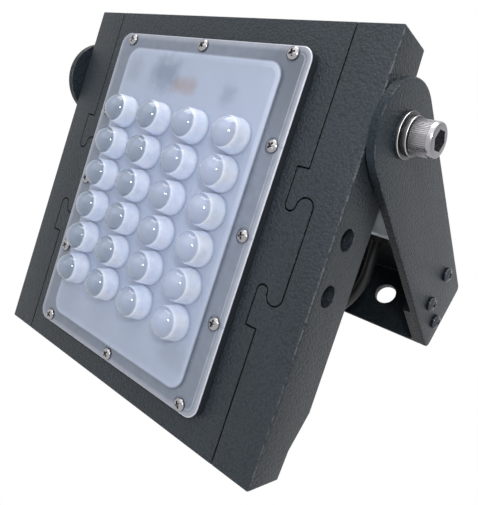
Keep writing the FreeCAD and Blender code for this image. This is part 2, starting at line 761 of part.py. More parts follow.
def make_housing_screws():
    """Four screws inside the housing, down into the casting's bosses."""
    return Part.makeCompound([
        socket_screw(housing_screw_diameter, housing_screw_length, housing_screw_head,
                     housing_screw_head_height, housing_screw_socket,
                     Vector(x, fin_tip + housing_wall, z), Y_AXIS) for x, z in housing_boss_places()])


def make_driver():
    """Potted driver unit on the floor of the housing, between the housing screws."""
    middle = (housing_bottom + housing_top) / 2
    block = Part.makeBox(driver_width, driver_depth, driver_height,
                         Vector(-driver_width / 2, fin_tip + housing_wall, middle - driver_height / 2))
    upright = [edge for edge in block.Edges if edge.BoundBox.XLength < 1e-6 and edge.BoundBox.ZLength < 1e-6]
    return block.makeFillet(2.0, upright)


def make_gland_body():
    """Gland body: thread through the housing wall, hexagon and a neck for the nut."""
    top = Vector(gland_x, gland_back, housing_bottom)
    bore = lead_diameter + 2 * hole_clearance
    thread = Part.makeCylinder(gland_thread_diameter / 2, gland_thread_length, top, Z_AXIS)
    hexa = hexagon(gland_hex, gland_hex_height, top - Z_AXIS * gland_hex_height, Z_AXIS)
    neck_height = gland_neck_height + gland_nut_height / 2
    neck = Part.makeCylinder(gland_thread_diameter / 2 - 1, neck_height,
                             top - Z_AXIS * (gland_hex_height + neck_height), Z_AXIS)
    body = thread.multiFuse([hexa, neck]).removeSplitter()
    total = gland_thread_length + gland_hex_height + neck_height + 2
    return body.cut(Part.makeCylinder(bore / 2, total, top - Z_AXIS * (gland_hex_height + neck_height + 1),
                                      Z_AXIS))


def gland_nut_top():
    """Height of the upper face of the gland nut."""
    return housing_bottom - gland_hex_height - gland_neck_height


def make_gland_nut():
    """Dome nut: hexagon, cone and a ring of claws round the lead."""
    nut_top = gland_nut_top()
    hexa = hexagon(gland_hex, gland_nut_height, Vector(gland_x, gland_back, nut_top - gland_nut_height), Z_AXIS)
    cone = Part.makeCone(gland_claw_diameter / 2 + 1, gland_hex / 2, gland_cone_height,
                         Vector(gland_x, gland_back, nut_top - gland_nut_height - gland_cone_height), Z_AXIS)
    nut = hexa.fuse(cone)
    cutter = Part.makeCylinder(gland_thread_diameter / 2 - 1 + screw_clearance, gland_nut_height / 2,
                               Vector(gland_x, gland_back, nut_top - gland_nut_height / 2), Z_AXIS)
    seat = Part.makeCylinder(gland_claw_diameter / 2, gland_nut_height / 2 + gland_cone_height,
                             Vector(gland_x, gland_back, nut_top - gland_nut_height - gland_cone_height), Z_AXIS)
    return nut.cut(cutter).cut(seat)


def lead_exit_z():
    """Height at which the lead leaves the gland."""
    return gland_nut_top() - gland_nut_height - gland_cone_height - gland_claw_height


def make_gland_seal():
    """Rubber sleeve that the nut squeezes on to the lead, with ribs at its lower end."""
    top = gland_nut_top() - gland_nut_height / 2
    sleeve = Part.makeCylinder(gland_claw_diameter / 2 - screw_clearance, top - lead_exit_z(),
                               Vector(gland_x, gland_back, lead_exit_z()), Z_AXIS)
    grooves = []
    for index in range(12):
        angle = math.radians(30 * index)
        spot = Vector(gland_x + gland_claw_diameter / 2 * math.cos(angle),
                      gland_back + gland_claw_diameter / 2 * math.sin(angle), lead_exit_z())
        grooves.append(Part.makeCylinder(0.7, gland_claw_height - 0.4, spot, Z_AXIS))
    bore = Part.makeCylinder(lead_diameter / 2, top - lead_exit_z() + 2,
                             Vector(gland_x, gland_back, lead_exit_z() - 1), Z_AXIS)
    return sleeve.cut(Part.makeCompound(grooves)).cut(bore)


def lead_path():
    """Straight runs joined by tangent arcs through the lead's points, and its radii."""
    points = [Vector(*point) for point in lead_points]
    edges, radii = [], []
    start = points[0]
    for before, corner, after in zip(points, points[1:], points[2:]):
        into = corner - before
        away = after - corner
        turn = into.getAngle(away)
        setback = 0.45 * min(into.Length, away.Length)
        radii.append(setback / math.tan(turn / 2))
        first = corner - into.normalize() * setback
        last = corner + away.normalize() * setback
        chord_mid = (first + last) * 0.5
        to_corner = corner - chord_mid
        sag = radii[-1] * (1 - math.cos(turn / 2))
        middle = chord_mid + to_corner.normalize() * sag
        edges.append(Part.LineSegment(start, first).toShape())
        edges.append(Part.Arc(first, middle, last).toShape())
        start = last
    edges.append(Part.LineSegment(start, points[-1]).toShape())
    return Part.Wire(edges), radii


def make_lead():
    """Round lead from the inside of the housing down behind the head."""
    path, radii = lead_path()
    first, second = Vector(*lead_points[0]), Vector(*lead_points[1])
    circle = Part.Wire(Part.makeCircle(lead_diameter / 2, first, second - first))
    tube = path.makePipeShell([circle], True, False)
    area = math.pi * lead_diameter ** 2 / 4
    print("lead length %.1f, smallest radius %.1f, volume ratio %.4f"
          % (path.Length, min(radii), tube.Volume / (area * path.Length)))
    return tube


def make_connector():
    """Inline connector on the end of the lead."""
    last, before = Vector(*lead_points[-1]), Vector(*lead_points[-2])
    axis = (last - before).normalize()
    half = connector_diameter / 2
    nose = connector_nose / 2
    shoulder = connector_neck + connector_shoulder
    cap = connector_length - connector_cap
    profile = ((0, 0), (nose * 0.9, 0), (nose, connector_neck), (half, shoulder), (half, cap),
               (half * 0.87, cap + connector_shoulder * 0.6), (half * 0.87, connector_length),
               (0, connector_length))
    return turned(profile, last, axis)


def main():
    """Build every piece and write one STEP file for each node."""
    head_nodes = {
        "head_casting": make_module(),
        "right_side_rail": make_rail(1),
        "left_side_rail": make_rail(-1),
        "rail_screws": make_rail_screws(),
        "lens_plate": make_lens_plate(),
        "lens_plate_seal": make_plate_seal(),
        "lens_plate_screws": make_plate_screws(),
        "led_board": make_board(),
        "infrared_emitters": make_emitters(),
        "board_parts": make_board_parts(),
        "board_screws": make_board_screws(),
        "pivot_bolts": make_pivot_bolts(),
        "pivot_flat_washers": make_flat_washers(),
        "pivot_spring_washers": make_spring_washers(),
        "pivot_spacers": make_spacers(),
        "driver_housing": make_housing(),
        "driver_lid_seal": make_lid_seal(),
        "driver_lid": make_lid(),
        "driver_lid_screws": make_lid_screws(),
        "housing_screws": make_housing_screws(),
        "driver_unit": make_driver(),
        "gland_body": make_gland_body(),
        "gland_nut": make_gland_nut(),
        "gland_seal": make_gland_seal(),
        "supply_lead": make_lead(),
        "lead_connector": make_connector(),
    }
    bracket_nodes = {
        "base_plate": make_base_plate(),
        "right_arm": make_arm(1),
        "left_arm": make_arm(-1),
        "arm_screws": make_arm_screws(),
    }
    os.makedirs("parts", exist_ok=True)
    nodes = {name: set_in_bracket(shape) for name, shape in head_nodes.items()}
    nodes.update(bracket_nodes)
    for name, shape in nodes.items():
        shape.exportStep(os.path.join("parts", name + ".step"))
        print("%-22s solids %2d valid %s volume %10.1f" % (name, len(shape.Solids), shape.isValid(), shape.Volume))


main()
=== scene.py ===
"""Looks of an infrared illuminator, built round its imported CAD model.

Lengths are in metres unless a name says otherwise. X runs along the pivots, -Y is the way the
lamp faces and +Z is up. The origin is the middle of the base plate on the wall. The head
leans forward in its bracket, so its pieces are drawn upright, with the front face at Y = 0
and its middle at the origin, and are then set in place.
"""

from __future__ import annotations

import json
import logging
import math
from dataclasses import dataclass
from enum import Enum
from typing import Iterable, Sequence, Union

import bmesh
import bpy
from mathutils import Matrix, Vector

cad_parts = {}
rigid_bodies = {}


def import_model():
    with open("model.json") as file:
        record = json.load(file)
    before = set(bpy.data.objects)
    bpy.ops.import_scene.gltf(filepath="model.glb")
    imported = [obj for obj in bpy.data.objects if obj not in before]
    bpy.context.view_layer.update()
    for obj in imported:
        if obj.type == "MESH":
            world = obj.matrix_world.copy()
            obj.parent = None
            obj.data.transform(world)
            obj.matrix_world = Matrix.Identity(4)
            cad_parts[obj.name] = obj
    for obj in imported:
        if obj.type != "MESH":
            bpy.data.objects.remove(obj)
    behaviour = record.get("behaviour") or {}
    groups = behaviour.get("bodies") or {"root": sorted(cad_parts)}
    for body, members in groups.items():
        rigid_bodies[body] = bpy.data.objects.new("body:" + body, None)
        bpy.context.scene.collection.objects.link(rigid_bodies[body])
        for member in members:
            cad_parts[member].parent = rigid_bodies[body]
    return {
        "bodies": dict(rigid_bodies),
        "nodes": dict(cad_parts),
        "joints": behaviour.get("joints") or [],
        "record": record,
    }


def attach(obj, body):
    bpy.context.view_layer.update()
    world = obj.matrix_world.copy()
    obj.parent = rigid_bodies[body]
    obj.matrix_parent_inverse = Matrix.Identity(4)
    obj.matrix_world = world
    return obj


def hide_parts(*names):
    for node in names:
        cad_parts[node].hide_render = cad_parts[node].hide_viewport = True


LOG = logging.getLogger("illuminator")
MM = 0.001

Colour = tuple[float, float, float]
Point = tuple[float, float, float]
Number = Union[float, int]


class Body(Enum):
    """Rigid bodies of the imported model."""

    BRACKET = "bracket"
    HEAD = "head"


class Slot(Enum):
    """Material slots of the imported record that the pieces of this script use."""

    CAST_COAT = "cast_coat"
    BRACKET_COAT = "bracket_coat"
    LENS_PLASTIC = "lens_plastic"
    STAINLESS = "stainless_steel"
    ZINC = "zinc_steel"
    CABLE = "cable_jacket"


@dataclass(frozen=True)
class HeadPose:
    """How the upright head is set into the bracket.

    Attributes:
        lean_degrees: How far the head leans forward.
        pivot_in_head: Pivot line in the upright head, as (across, back, up).
        pivot_in_wall: The same line in the bracket.
    """

    lean_degrees: float = 24.0
    pivot_in_head: Point = (0.0, 0.019, 0.073)
    pivot_in_wall: Point = (0.0, -0.164, 0.024)

    def matrix(self) -> Matrix:
        """Returns: the move from the upright head to its place in the bracket."""
        to_pivot = Matrix.Translation(-Vector(self.pivot_in_head))
        turn = Matrix.Rotation(math.radians(self.lean_degrees), 4, "X")
        return Matrix.Translation(self.pivot_in_wall) @ turn @ to_pivot

    def offset(self) -> Point:
        """Returns: where the upright head's origin comes to lie."""
        return tuple(self.matrix().translation)


HEAD = HeadPose()
FACING_FRONT = Matrix.Rotation(math.radians(90), 4, "X")
FRONT_HALF = (124.0 * MM, 120.0 * MM)
ARM_OUTER = 133.0 * MM
# Painted shade inside the head's seams.
SEAM_PAINTED_SHADE = (0.003, 0.004, 0.005)
# Painted shade on the plates' cut edges, towards the wall.
CUT_EDGE_PAINTED_SHADE = (0.002, 0.003, 0.004)
WHITE = (1.0, 1.0, 1.0, 1.0)
TOUCHING = 1e-6


def facing_side(side: int) -> Matrix:
    """Turns +Z outwards along the pivots.

    Args:
        side: 1 for the head's right side, or -1 for its left.

    Returns:
        The turn.
    """
    return Matrix.Rotation(math.radians(90 * side), 4, "Y")


def tinted(colour: Colour, factor: float) -> Colour:
    """Makes a colour lighter or darker.

    Args:
        colour: Colour that it starts from.
        factor: What its parts are multiplied by.

    Returns:
        The new colour.
    """
    return tuple(min(1.0, part * factor) for part in colour)


class Value:
    """A number socket of a node tree, on which Python's operators add Math nodes."""

    def __init__(self, graph: "Graph", socket: bpy.types.NodeSocket) -> None:
        """Wraps a socket.

        Args:
            graph: Graph that the socket belongs to.
            socket: Output socket with a number.
        """
        self.graph = graph
        self.socket = socket

    def math(self, operation: str, *others: "Value | Number",
             first: "Value | Number | None" = None) -> "Value":
        """Adds one Math node.

        Args:
            operation: Blender's name of the operation.
            others: Second and third operand.
            first: Operand that goes before this one, for reflected operators.

        Returns:
            The node's result.
        """
        operands = [self, *others] if first is None else [first, self]
        sockets = dict(enumerate(operands))
        return self.graph.number("ShaderNodeMath", {"operation": operation}, sockets)

    def __add__(self, other: "Value | Number") -> "Value":
        """Adds.

        Args:
            other: Number that is added.

        Returns:
            The sum.
        """
        return self.math("ADD", other)

    __radd__ = __add__

    def __sub__(self, other: "Value | Number") -> "Value":
        """Subtracts.

        Args:
            other: Number that is taken off.

        Returns:
            The difference.
        """
        return self.math("SUBTRACT", other)

    def __rsub__(self, other: Number) -> "Value":
        """Subtracts this from a number.

        Args:
            other: That number.

        Returns:
            The difference.
        """
        return self.math("SUBTRACT", first=other)

    def __mul__(self, other: "Value | Number") -> "Value":
        """Multiplies.

        Args:
            other: Number that it is multiplied by.

        Returns:
            The product.
        """
        return self.math("MULTIPLY", other)

    __rmul__ = __mul__

    def __truediv__(self, other: "Value | Number") -> "Value":
        """Divides.

        Args:
            other: Number that it is divided by.

        Returns:
            The quotient.
        """
        return self.math("DIVIDE", other)

    def __pow__(self, other: "Value | Number") -> "Value":
        """Raises to a power.

        Args:
            other: The power.

        Returns:
            The result.
        """
        return self.math("POWER", other)

    def absolute(self) -> "Value":
        """Returns: the size without its sign."""
        return self.math("ABSOLUTE")

    def least(self, other: "Value | Number") -> "Value":
        """Takes the smaller of two.

        Args:
            other: The second one.

        Returns:
            The smaller.
        """
        return self.math("MINIMUM", other)

    def most(self, other: "Value | Number") -> "Value":
        """Takes the larger of two.

        Args:
            other: The second one.

        Returns:
            The larger.
        """
        return self.math("MAXIMUM", other)

    def above(self, other: "Value | Number") -> "Value":
        """Compares.

        Args:
            other: Number that it is compared with.

        Returns:
            1 where this is greater, or else 0.
        """
        return self.math("GREATER_THAN", other)

    def ramp(self, low: float, high: float) -> "Value":
        """Smooth step.

        Args:
            low: Value at which the step is 0.
            high: Value at which it is 1.

        Returns:
            The step, from 0 to 1.
        """
        settings = {"interpolation_type": "SMOOTHSTEP"}
        sockets = {"Value": self, "From Min": low, "From Max": high}
        return self.graph.number("ShaderNodeMapRange", settings, sockets)


class Graph:
    """A node tree that is written as calls and expressions."""

    def __init__(self, tree: bpy.types.NodeTree) -> None:
        """Takes a tree and empties it.

        Args:
            tree: Shader or geometry tree.
        """
        self.tree = tree
        tree.nodes.clear()

    def node(self, kind: str, settings: dict | None = None,
             sockets: dict | None = None) -> bpy.types.Node:
        """Adds a node.

        Args:
            kind: Type of the node.
            settings: Properties that are set before the sockets.
            sockets: Input names or numbers, with values, Value objects or output sockets.

        Returns:
            The node.
        """
        made = self.tree.nodes.new(kind)
        for name, value in (settings or {}).items():
            setattr(made, name, value)
        for name, value in (sockets or {}).items():
            self.feed(made.inputs[name], value)
        return made

    def feed(self, socket: bpy.types.NodeSocket, value: object) -> None:
        """Links or sets an input.

        Args:
            socket: Input socket.
            value: A Value, an output socket or a plain value.
        """
        if isinstance(value, Value):
            value = value.socket
        if isinstance(value, bpy.types.NodeSocket):
            self.tree.links.new(value, socket)
        else:
            socket.default_value = value

    def number(self, kind: str, settings: dict | None = None, sockets: dict | None = None,
               output: str | int = 0) -> Value:
        """Adds a node and wraps one of its outputs.

        Args:
            kind: Type of the node.
            settings: Properties that are set first.
            sockets: Inputs.
            output: Name or number of the output.

        Returns:
            The output as a Value.
        """
        return Value(self, self.node(kind, settings, sockets).outputs[output])

    def split(self, vector: bpy.types.NodeSocket) -> tuple[Value, Value, Value]:
        """Splits a vector.

        Args:
            vector: Vector output.

        Returns:
            Its three parts.
        """
        parts = self.node("ShaderNodeSeparateXYZ", sockets={0: vector}).outputs
        return Value(self, parts[0]), Value(self, parts[1]), Value(self, parts[2])

    def join(self, x: Value | Number, y: Value | Number, z: Value | Number) -> bpy.types.NodeSocket:
        """Makes a vector.

        Args:
            x: First part.
            y: Second part.
            z: Third part.

        Returns:
            The vector output.
        """
        return self.node("ShaderNodeCombineXYZ", sockets={0: x, 1: y, 2: z}).outputs[0]

    def seen(self) -> Value:
        """Returns: 1 for rays that show a surface, or else 0 for rays that carry its light on."""
        rays = self.node("ShaderNodeLightPath").outputs
        camera, glossy, through = (
            Value(self, rays[name])
            for name in ("Is Camera Ray", "Is Glossy Ray", "Is Transmission Ray"))
        return camera.most(glossy).most(through)


class Paint(Graph):
    """Shader tree of one finish."""

    def __init__(self, name: str) -> None:
        """Makes the material.

        Args:
            name: Name of the material.
        """
        self.material = bpy.data.materials.new(name)
        self.material.use_nodes = True
        super().__init__(self.material.node_tree)

    def place(self) -> bpy.types.NodeSocket:
        """Returns: the point on the piece, in metres, in the part's own frame."""
        return self.node("ShaderNodeTexCoord").outputs["Object"]

    def facing(self) -> tuple[Value, Value, Value]:
        """Returns: the parts of the direction that the surface faces."""
        return self.split(self.node("ShaderNodeTexCoord").outputs["Normal"])

    def place_in_head(self) -> bpy.types.NodeSocket:
        """Returns: the point on the piece, in metres, in the upright head's frame."""
        sockets = {"Vector": self.place(), "Location": HEAD.offset(),
                   "Rotation": (math.radians(HEAD.lean_degrees), 0.0, 0.0)}
        return self.node("ShaderNodeMapping", {"vector_type": "TEXTURE"}, sockets).outputs[0]

    def front(self) -> tuple[Value, Value]:
        """Returns: 1 within the outline of the head's front, or else 0, and the depth behind it."""
        fade_from, fade_to = 1.5 * MM, 0.5 * MM
        x, y, z = self.split(self.place_in_head())
        across, upward = (1.0 - part.absolute().ramp(half - fade_from, half - fade_to)
                          for part, half in zip((x, z), FRONT_HALF))
        return across * upward, y

    def noise(self, place: bpy.types.NodeSocket, size: float, detail: float = 2.0,
              roughness: float = 0.5) -> Value:
        """Adds soft noise.

        Args:
            place: Point at which it is read.
            size: Size of its features.
            detail: Number of finer layers.
            roughness: Strength of those layers.

        Returns:
            The noise, about 0.5 on average.
        """
        sockets = {"Vector": place, "Scale": 1.0 / size, "Detail": detail, "Roughness": roughness}
        return self.number("ShaderNodeTexNoise", {"noise_dimensions": "3D"}, sockets, "Fac")

    def mix(self, share: Value | Number, low: object, high: object) -> bpy.types.NodeSocket:
        """Mixes two colours.

        Args:
            share: Share of the second, from 0 to 1.
            low: First colour.
            high: Second colour.

        Returns:
            The mixed colour.
        """
        made = self.node("ShaderNodeMix", {"data_type": "RGBA"})
        self.feed(made.inputs[0], share)
        for socket, colour in ((made.inputs[6], low), (made.inputs[7], high)):
            self.feed(socket, (*colour, 1.0) if isinstance(colour, tuple) else colour)
        return made.outputs[2]

    def bump(self, height: Value, depth: float, strength: float = 1.0) -> bpy.types.NodeSocket:
        """Turns a height into a normal.

        Args:
            height: Height from 0 to 1.
            depth: Depth of the relief.
            strength: Strength of the effect.

        Returns:
            The bent normal.
        """
        sockets = {"Height": height, "Distance": depth, "Strength": strength}
        return self.node("ShaderNodeBump", sockets=sockets).outputs[0]

    def principled(self, sockets: dict) -> bpy.types.NodeSocket:
        """Adds the main shader.

        Args:
            sockets: Its inputs by name.

        Returns:
            The shader output.
        """
        ready = {name: (*value, 1.0) if name == "Base Color" and isinstance(value, tuple) else value
                 for name, value in sockets.items()}
        return self.node("ShaderNodeBsdfPrincipled", sockets=ready).outputs[0]

    def finish(self, shader: bpy.types.NodeSocket) -> bpy.types.Material:
        """Closes the tree.

        Args:
            shader: Last shader.

        Returns:
            The finished material.
        """
        self.node("ShaderNodeOutputMaterial", sockets={"Surface": shader})
        return self.material


@dataclass(frozen=True)
class PowderCoat:
    """Dark powder coat with a fine leather grain, and painted highlights along its chamfered edges.

    Attributes:
        name: Name of the material.
        colour: Colour of the coat.
        edge_highlight: Colour of the painted highlights on the edges.
        grain: Size of one wrinkle.
        relief: Depth of the grain.
        dullness: Roughness of the coat.
        shine: Level of its highlights.
        patch: Size of its lighter and darker patches.
        slant: Slant of a chamfer at which the painted highlight starts and is full.
        chip: Size of the chips that break the painted highlight.
        chipped: Noise levels between which a chip's border lies.
        highlight_share: How strong the painted highlight on the edges is, from 0 to 1.
        seams: Whether the head's seams run through the piece, their walls darkened with painted
            shade.
        seam_lip: Depths between which the painted shade on a seam's wall begins.
        seam_end: Depths between which it turns light again, behind the seam.
        shaded_towards_wall: Whether painted shade darkens the coat towards the wall, as on the
            plates' cut edges.
        shade_from: Places along Y between which the painted shade sets in.
        depth: Share of the painted shade's colour there.
    """

    name: str
    colour: Colour = (0.027, 0.036, 0.045)
    edge_highlight: Colour = (0.230, 0.240, 0.250)
    grain: float = 1.4 * MM
    relief: float = 0.34 * MM
    dullness: float = 0.40
    shine: float = 0.27
    patch: float = 45.0 * MM
    slant: tuple[float, float] = (0.36, 0.46)
    chip: float = 3.0 * MM
    chipped: tuple[float, float] = (0.44, 0.58)
    highlight_share: float = 0.45
    seams: bool = False
    seam_lip: tuple[float, float] = (0.02 * MM, 0.10 * MM)
    seam_end: tuple[float, float] = (7.0 * MM, 9.0 * MM)
    shaded_towards_wall: bool = False
    shade_from: tuple[float, float] = (-180.0 * MM, -130.0 * MM)
    depth: float = 0.7

    def edge(self, paint: Paint, place: bpy.types.NodeSocket) -> Value:
        """Adds the painted highlight on the chamfers between a front or back and a side.

        Args:
            paint: Tree that it is added to.
            place: Point on the piece.

        Returns:
            1 where the painted highlight lies, or else 0.
        """
        across, back, up = paint.facing()
        rest = (back * back + up * up).math("SQRT")
        slanted = (across.absolute() * rest).ramp(*self.slant)
        return slanted * paint.noise(place, self.chip, 4.0, 0.7).ramp(*self.chipped)

    def wrinkles(self, paint: Paint, place: bpy.types.NodeSocket) -> Value:
        """Adds the leather grain: bent cells with finer noise on them.

        Args:
            paint: Tree that it is added to.
            place: Point on the piece.

        Returns:
            Its height, about 0.65 on average.
        """
        wander = paint.node("ShaderNodeTexNoise", None, {
            "Vector": place, "Scale": 0.6 / self.grain, "Detail": 2.0}).outputs["Color"]
        bent = paint.node("ShaderNodeVectorMath", {"operation": "MULTIPLY_ADD"}, {
            0: wander, 1: (self.grain,) * 3, 2: place}).outputs[0]
        cells = paint.number("ShaderNodeTexVoronoi", {"feature": "SMOOTH_F1"}, {
            "Vector": bent, "Scale": 1.0 / self.grain, "Smoothness": 0.5}, "Distance")
        fine = paint.noise(place, self.grain * 0.4)
        return 1.0 - cells * 1.2 + fine * 0.45

    def material(self) -> bpy.types.Material:
        """Returns: the material."""
        paint = Paint(self.name)
        place = paint.place()
        height = self.wrinkles(paint, place)
        patches = paint.noise(place, self.patch, 3.0)
        # The grain's peaks are painted lighter, a painted sheen; the patches differ in tone at
        # random.
        tone = (patches - 0.5) * 0.7 + (height - 0.65) * 0.9 + 0.5
        pale = tuple(part * 1.3 + 0.003 for part in self.colour)
        coat = paint.mix(tone.most(0.0).least(1.0), tinted(self.colour, 0.72), pale)
        # Painted highlight: the chamfered edges turn pale, broken into chips.
        coat = paint.mix(self.edge(paint, place) * self.highlight_share, coat, self.edge_highlight)
        # Painted shade: the walls inside the head's seams turn dark.
        if self.seams:
            within, depth = paint.front()
            wall = within * depth.ramp(*self.seam_lip) * (1.0 - depth.ramp(*self.seam_end))
            coat = paint.mix(wall, coat, SEAM_PAINTED_SHADE)
        # Painted shade: the coat darkens towards the wall.
        if self.shaded_towards_wall:
            _, back, _ = paint.split(place)
            coat = paint.mix(back.ramp(*self.shade_from) * self.depth, coat, CUT_EDGE_PAINTED_SHADE)
        shader = paint.principled({
            "Base Color": coat,
            "Roughness": self.dullness + (patches - 0.5) * 0.12,
            "Specular IOR Level": self.shine,
            "Normal": paint.bump(height, self.relief),
        })
        return paint.finish(shader)


@dataclass(frozen=True)
class PaintedHighlightEdge:
    """Softened edge of a coated part, with painted highlights in broken places along it.

    Attributes:
        name: Name of the material.
        coat: Colour of the coat.
        edge_highlight: Colour of the painted highlights.
        chip: Size of the chips.
        chipped: Noise levels between which a chip's border lies.
        stretch: Length of the stretches that carry more painted highlight.
        seams: Whether the seams in the head's front have edges of this finish, darkened with
            painted shade.
        seam_depth: Depths behind the front between which the painted shade ends.
    """

    name: str
    coat: Colour = (0.030, 0.039, 0.048)
    edge_highlight: Colour = (0.300, 0.310, 0.320)
    chip: float = 1.3 * MM
    chipped: tuple[float, float] = (0.50, 0.60)
    stretch: float = 40.0 * MM
    seams: bool = False
    seam_depth: tuple[float, float] = (1.0 * MM, 2.0 * MM)

    def material(self) -> bpy.types.Material:
        """Returns: the material."""
        paint = Paint(self.name)
        place = paint.place()
        # Painted highlight in broken stretches along the edge.
        broken = paint.noise(place, self.chip, 3.0, 0.7).ramp(*self.chipped)
        stretches = paint.noise(place, self.stretch, 2.0).ramp(0.40, 0.62)
        body = paint.mix(broken * (0.25 + stretches * 0.75), self.coat, self.edge_highlight)
        # Painted shade where the edge lies in a seam, with bits of painted highlight left in it.
        if self.seams:
            within, depth = paint.front()
            seam = within * (1.0 - depth.ramp(*self.seam_depth))
            body = paint.mix(seam * (1.0 - broken * stretches * 0.5), body, SEAM_PAINTED_SHADE)
        shader = paint.principled({
            "Base Color": body,
            "Roughness": 0.40 - broken * 0.10,
            "Normal": paint.bump(paint.noise(place, 0.8 * MM), 0.05 * MM),
        })
        return paint.finish(shader)


@dataclass(frozen=True)
class Shadow:
    """Soft shadow that a part behind the cover throws on it.

    Attributes:
        centre: Its middle, across and up.
        half: Its half sizes.
        blur: Width of its soft edge.
        colour: Colour of the shadow.
        weight: How much of it shows.
    """

    centre: tuple[float, float]
    half: tuple[float, float]
    blur: float
    colour: Colour
    weight: float

    def share(self, x: Value, z: Value, ragged: Value) -> Value:
        """Adds the shadow's mask.

        Args:
            x: Place across the head.
            z: Place up the head.
            ragged: Noise that breaks its edge.

        Returns:
            The share of the shadow's colour.
        """
        across = ((x - self.centre[0]).absolute() - self.half[0]).most(0.0)
        upward = ((z - self.centre[1]).absolute() - self.half[1]).most(0.0)
        away = (across * across + upward * upward).math("SQRT") + (ragged - 0.5) * self.blur
        return (1.0 - away.ramp(0.0, self.blur)) * self.weight


@dataclass(frozen=True)
class CoverPlastic:
    """Milky polycarbonate of the lens plate, with the board's parts dimly behind it as painted
    shadows, and painted highlights along its edges and the field's rim.

    Attributes:
        name: Name of the material.
        flange: Colour where the casting lies behind the plate.
        edge: Colour of the painted highlight lines round the plate.
        side: Colour of the clear side walls over the dark casting.
        field: Colour where the chamber lies behind it.
        rim: Colour of the painted highlight on the field's sloped rim.
        half: Half width and half height of the plate.
        corner: Radius of its corners.
        field_half: Half width and half height of the raised field.
        field_corner: Radius of the field's corners.
        front: Level of the plate's front.
        field_blend: Distances from the field's frame between which it gives way to the flange.
        rim_band: Distances from that frame between which the painted highlight on the rim grows.
        ridge: Distance of the fine painted highlight line within the rim.
        lit_across: Places across between which the rim is lit.
        lit_upward: Places up between which it is lit.
        dim_across: Places across between which the flange is dimmer.
        dim_upward: Places up between which it is dimmer.
        inner_line: Distance of the fine painted highlight line within the flange's right side.
        glow_band: Distances from the plate's edge between which a painted light band lies on the
            flange.
        edge_band: Distances between which the painted highlight line along the edge begins.
        wall_band: Distances between which the side wall begins.
        shadows: Shadows of the parts behind the cover.
    """

    name: str
    flange: Colour = (0.205, 0.240, 0.310)
    edge: Colour = (0.520, 0.540, 0.620)
    side: Colour = (0.028, 0.034, 0.042)
    field: Colour = (0.400, 0.460, 0.600)
    rim: Colour = (0.560, 0.620, 0.780)
    half: tuple[float, float] = (82.2 * MM, 103.7 * MM)
    corner: float = 8.0 * MM
    field_half: tuple[float, float] = (67.5 * MM, 94.2 * MM)
    field_corner: float = 10.0 * MM
    front: float = -6.0 * MM
    field_blend: tuple[float, float] = (-1.4 * MM, 0.2 * MM)
    rim_band: tuple[float, float] = (-4.6 * MM, -3.4 * MM)
    ridge: float = 1.6 * MM
    lit_across: tuple[float, float] = (48.0 * MM, 66.0 * MM)
    lit_upward: tuple[float, float] = (-70.0 * MM, 70.0 * MM)
    dim_across: tuple[float, float] = (30.0 * MM, 82.0 * MM)
    dim_upward: tuple[float, float] = (30.0 * MM, 100.0 * MM)
    inner_line: float = 4.2 * MM
    glow_band: tuple[float, float] = (-4.5 * MM, -1.2 * MM)
    edge_band: tuple[float, float] = (-1.0 * MM, -0.4 * MM)
    wall_band: tuple[float, float] = (-0.08 * MM, -0.02 * MM)
    shadows: tuple[Shadow, ...] = (
        Shadow((-24.2 * MM, 78.8 * MM), (4.5 * MM, 1.5 * MM), 14 * MM, (0.200, 0.250, 0.350), 0.80),
        Shadow((-4.4 * MM, 73.1 * MM), (6.0 * MM, 0.8 * MM), 7 * MM, (0.340, 0.265, 0.260), 0.60),
        Shadow((33.9 * MM, 72.0 * MM), (1.0 * MM, 1.0 * MM), 9 * MM, (0.240, 0.285, 0.400), 0.55),
        Shadow((-56.0 * MM, 79.0 * MM), (1.5 * MM, 3.0 * MM), 9 * MM, (0.270, 0.320, 0.400), 0.45),
        Shadow((54.0 * MM, -77.2 * MM), (6.0 * MM, 1.5 * MM), 10 * MM, (0.290, 0.350, 0.440), 0.45),
    )

    @staticmethod
    def inset(x: Value, z: Value, half: tuple[float, float], corner: float) -> Value:
        """Distance to a rounded frame, negative inside it.

        Args:
            x: Place across the head.
            z: Place up the head.
            half: Half sizes of the frame.
            corner: Radius of its corners.

        Returns:
            The distance.
        """
        across = x.absolute() - (half[0] - corner)
        upward = z.absolute() - (half[1] - corner)
        outer = (across.most(0.0) ** 2.0 + upward.most(0.0) ** 2.0).math("SQRT")
        return outer + across.most(upward).least(0.0) - corner

    def haze(self, paint: Paint, place: bpy.types.NodeSocket, from_field: Value,
             streak: Value) -> bpy.types.NodeSocket:
        """Adds the milky field with its painted shadows and the painted highlight on its rim.

        Args:
            paint: Tree that it is added to.
            place: Point in the upright head.
            from_field: Distance to the field's frame.
            streak: Noise that breaks lines and shadows.

        Returns:
            The field's colour.
        """
        x, _, z = paint.split(place)
        cloud = paint.noise(place, 28 * MM, 3.0)
        body = paint.mix((cloud - 0.5) * 1.2 + 0.5,
                         tinted(self.field, 0.90), tinted(self.field, 1.08))
        for shadow in self.shadows:
            body = paint.mix(shadow.share(x, z, streak), body, shadow.colour)
        # Painted highlight on the rim, stronger where lit, with a fine painted highlight line in
        # it.
        lit = x.ramp(*self.lit_across) * z.ramp(*self.lit_upward)
        rim = from_field.ramp(*self.rim_band) * (streak * 0.32 + lit * 0.5)
        ridge = 1.0 - (from_field + self.ridge).absolute().ramp(0.2 * MM, 0.9 * MM)
        return paint.mix((rim + ridge * (streak * 0.5)).least(1.0), body, self.rim)

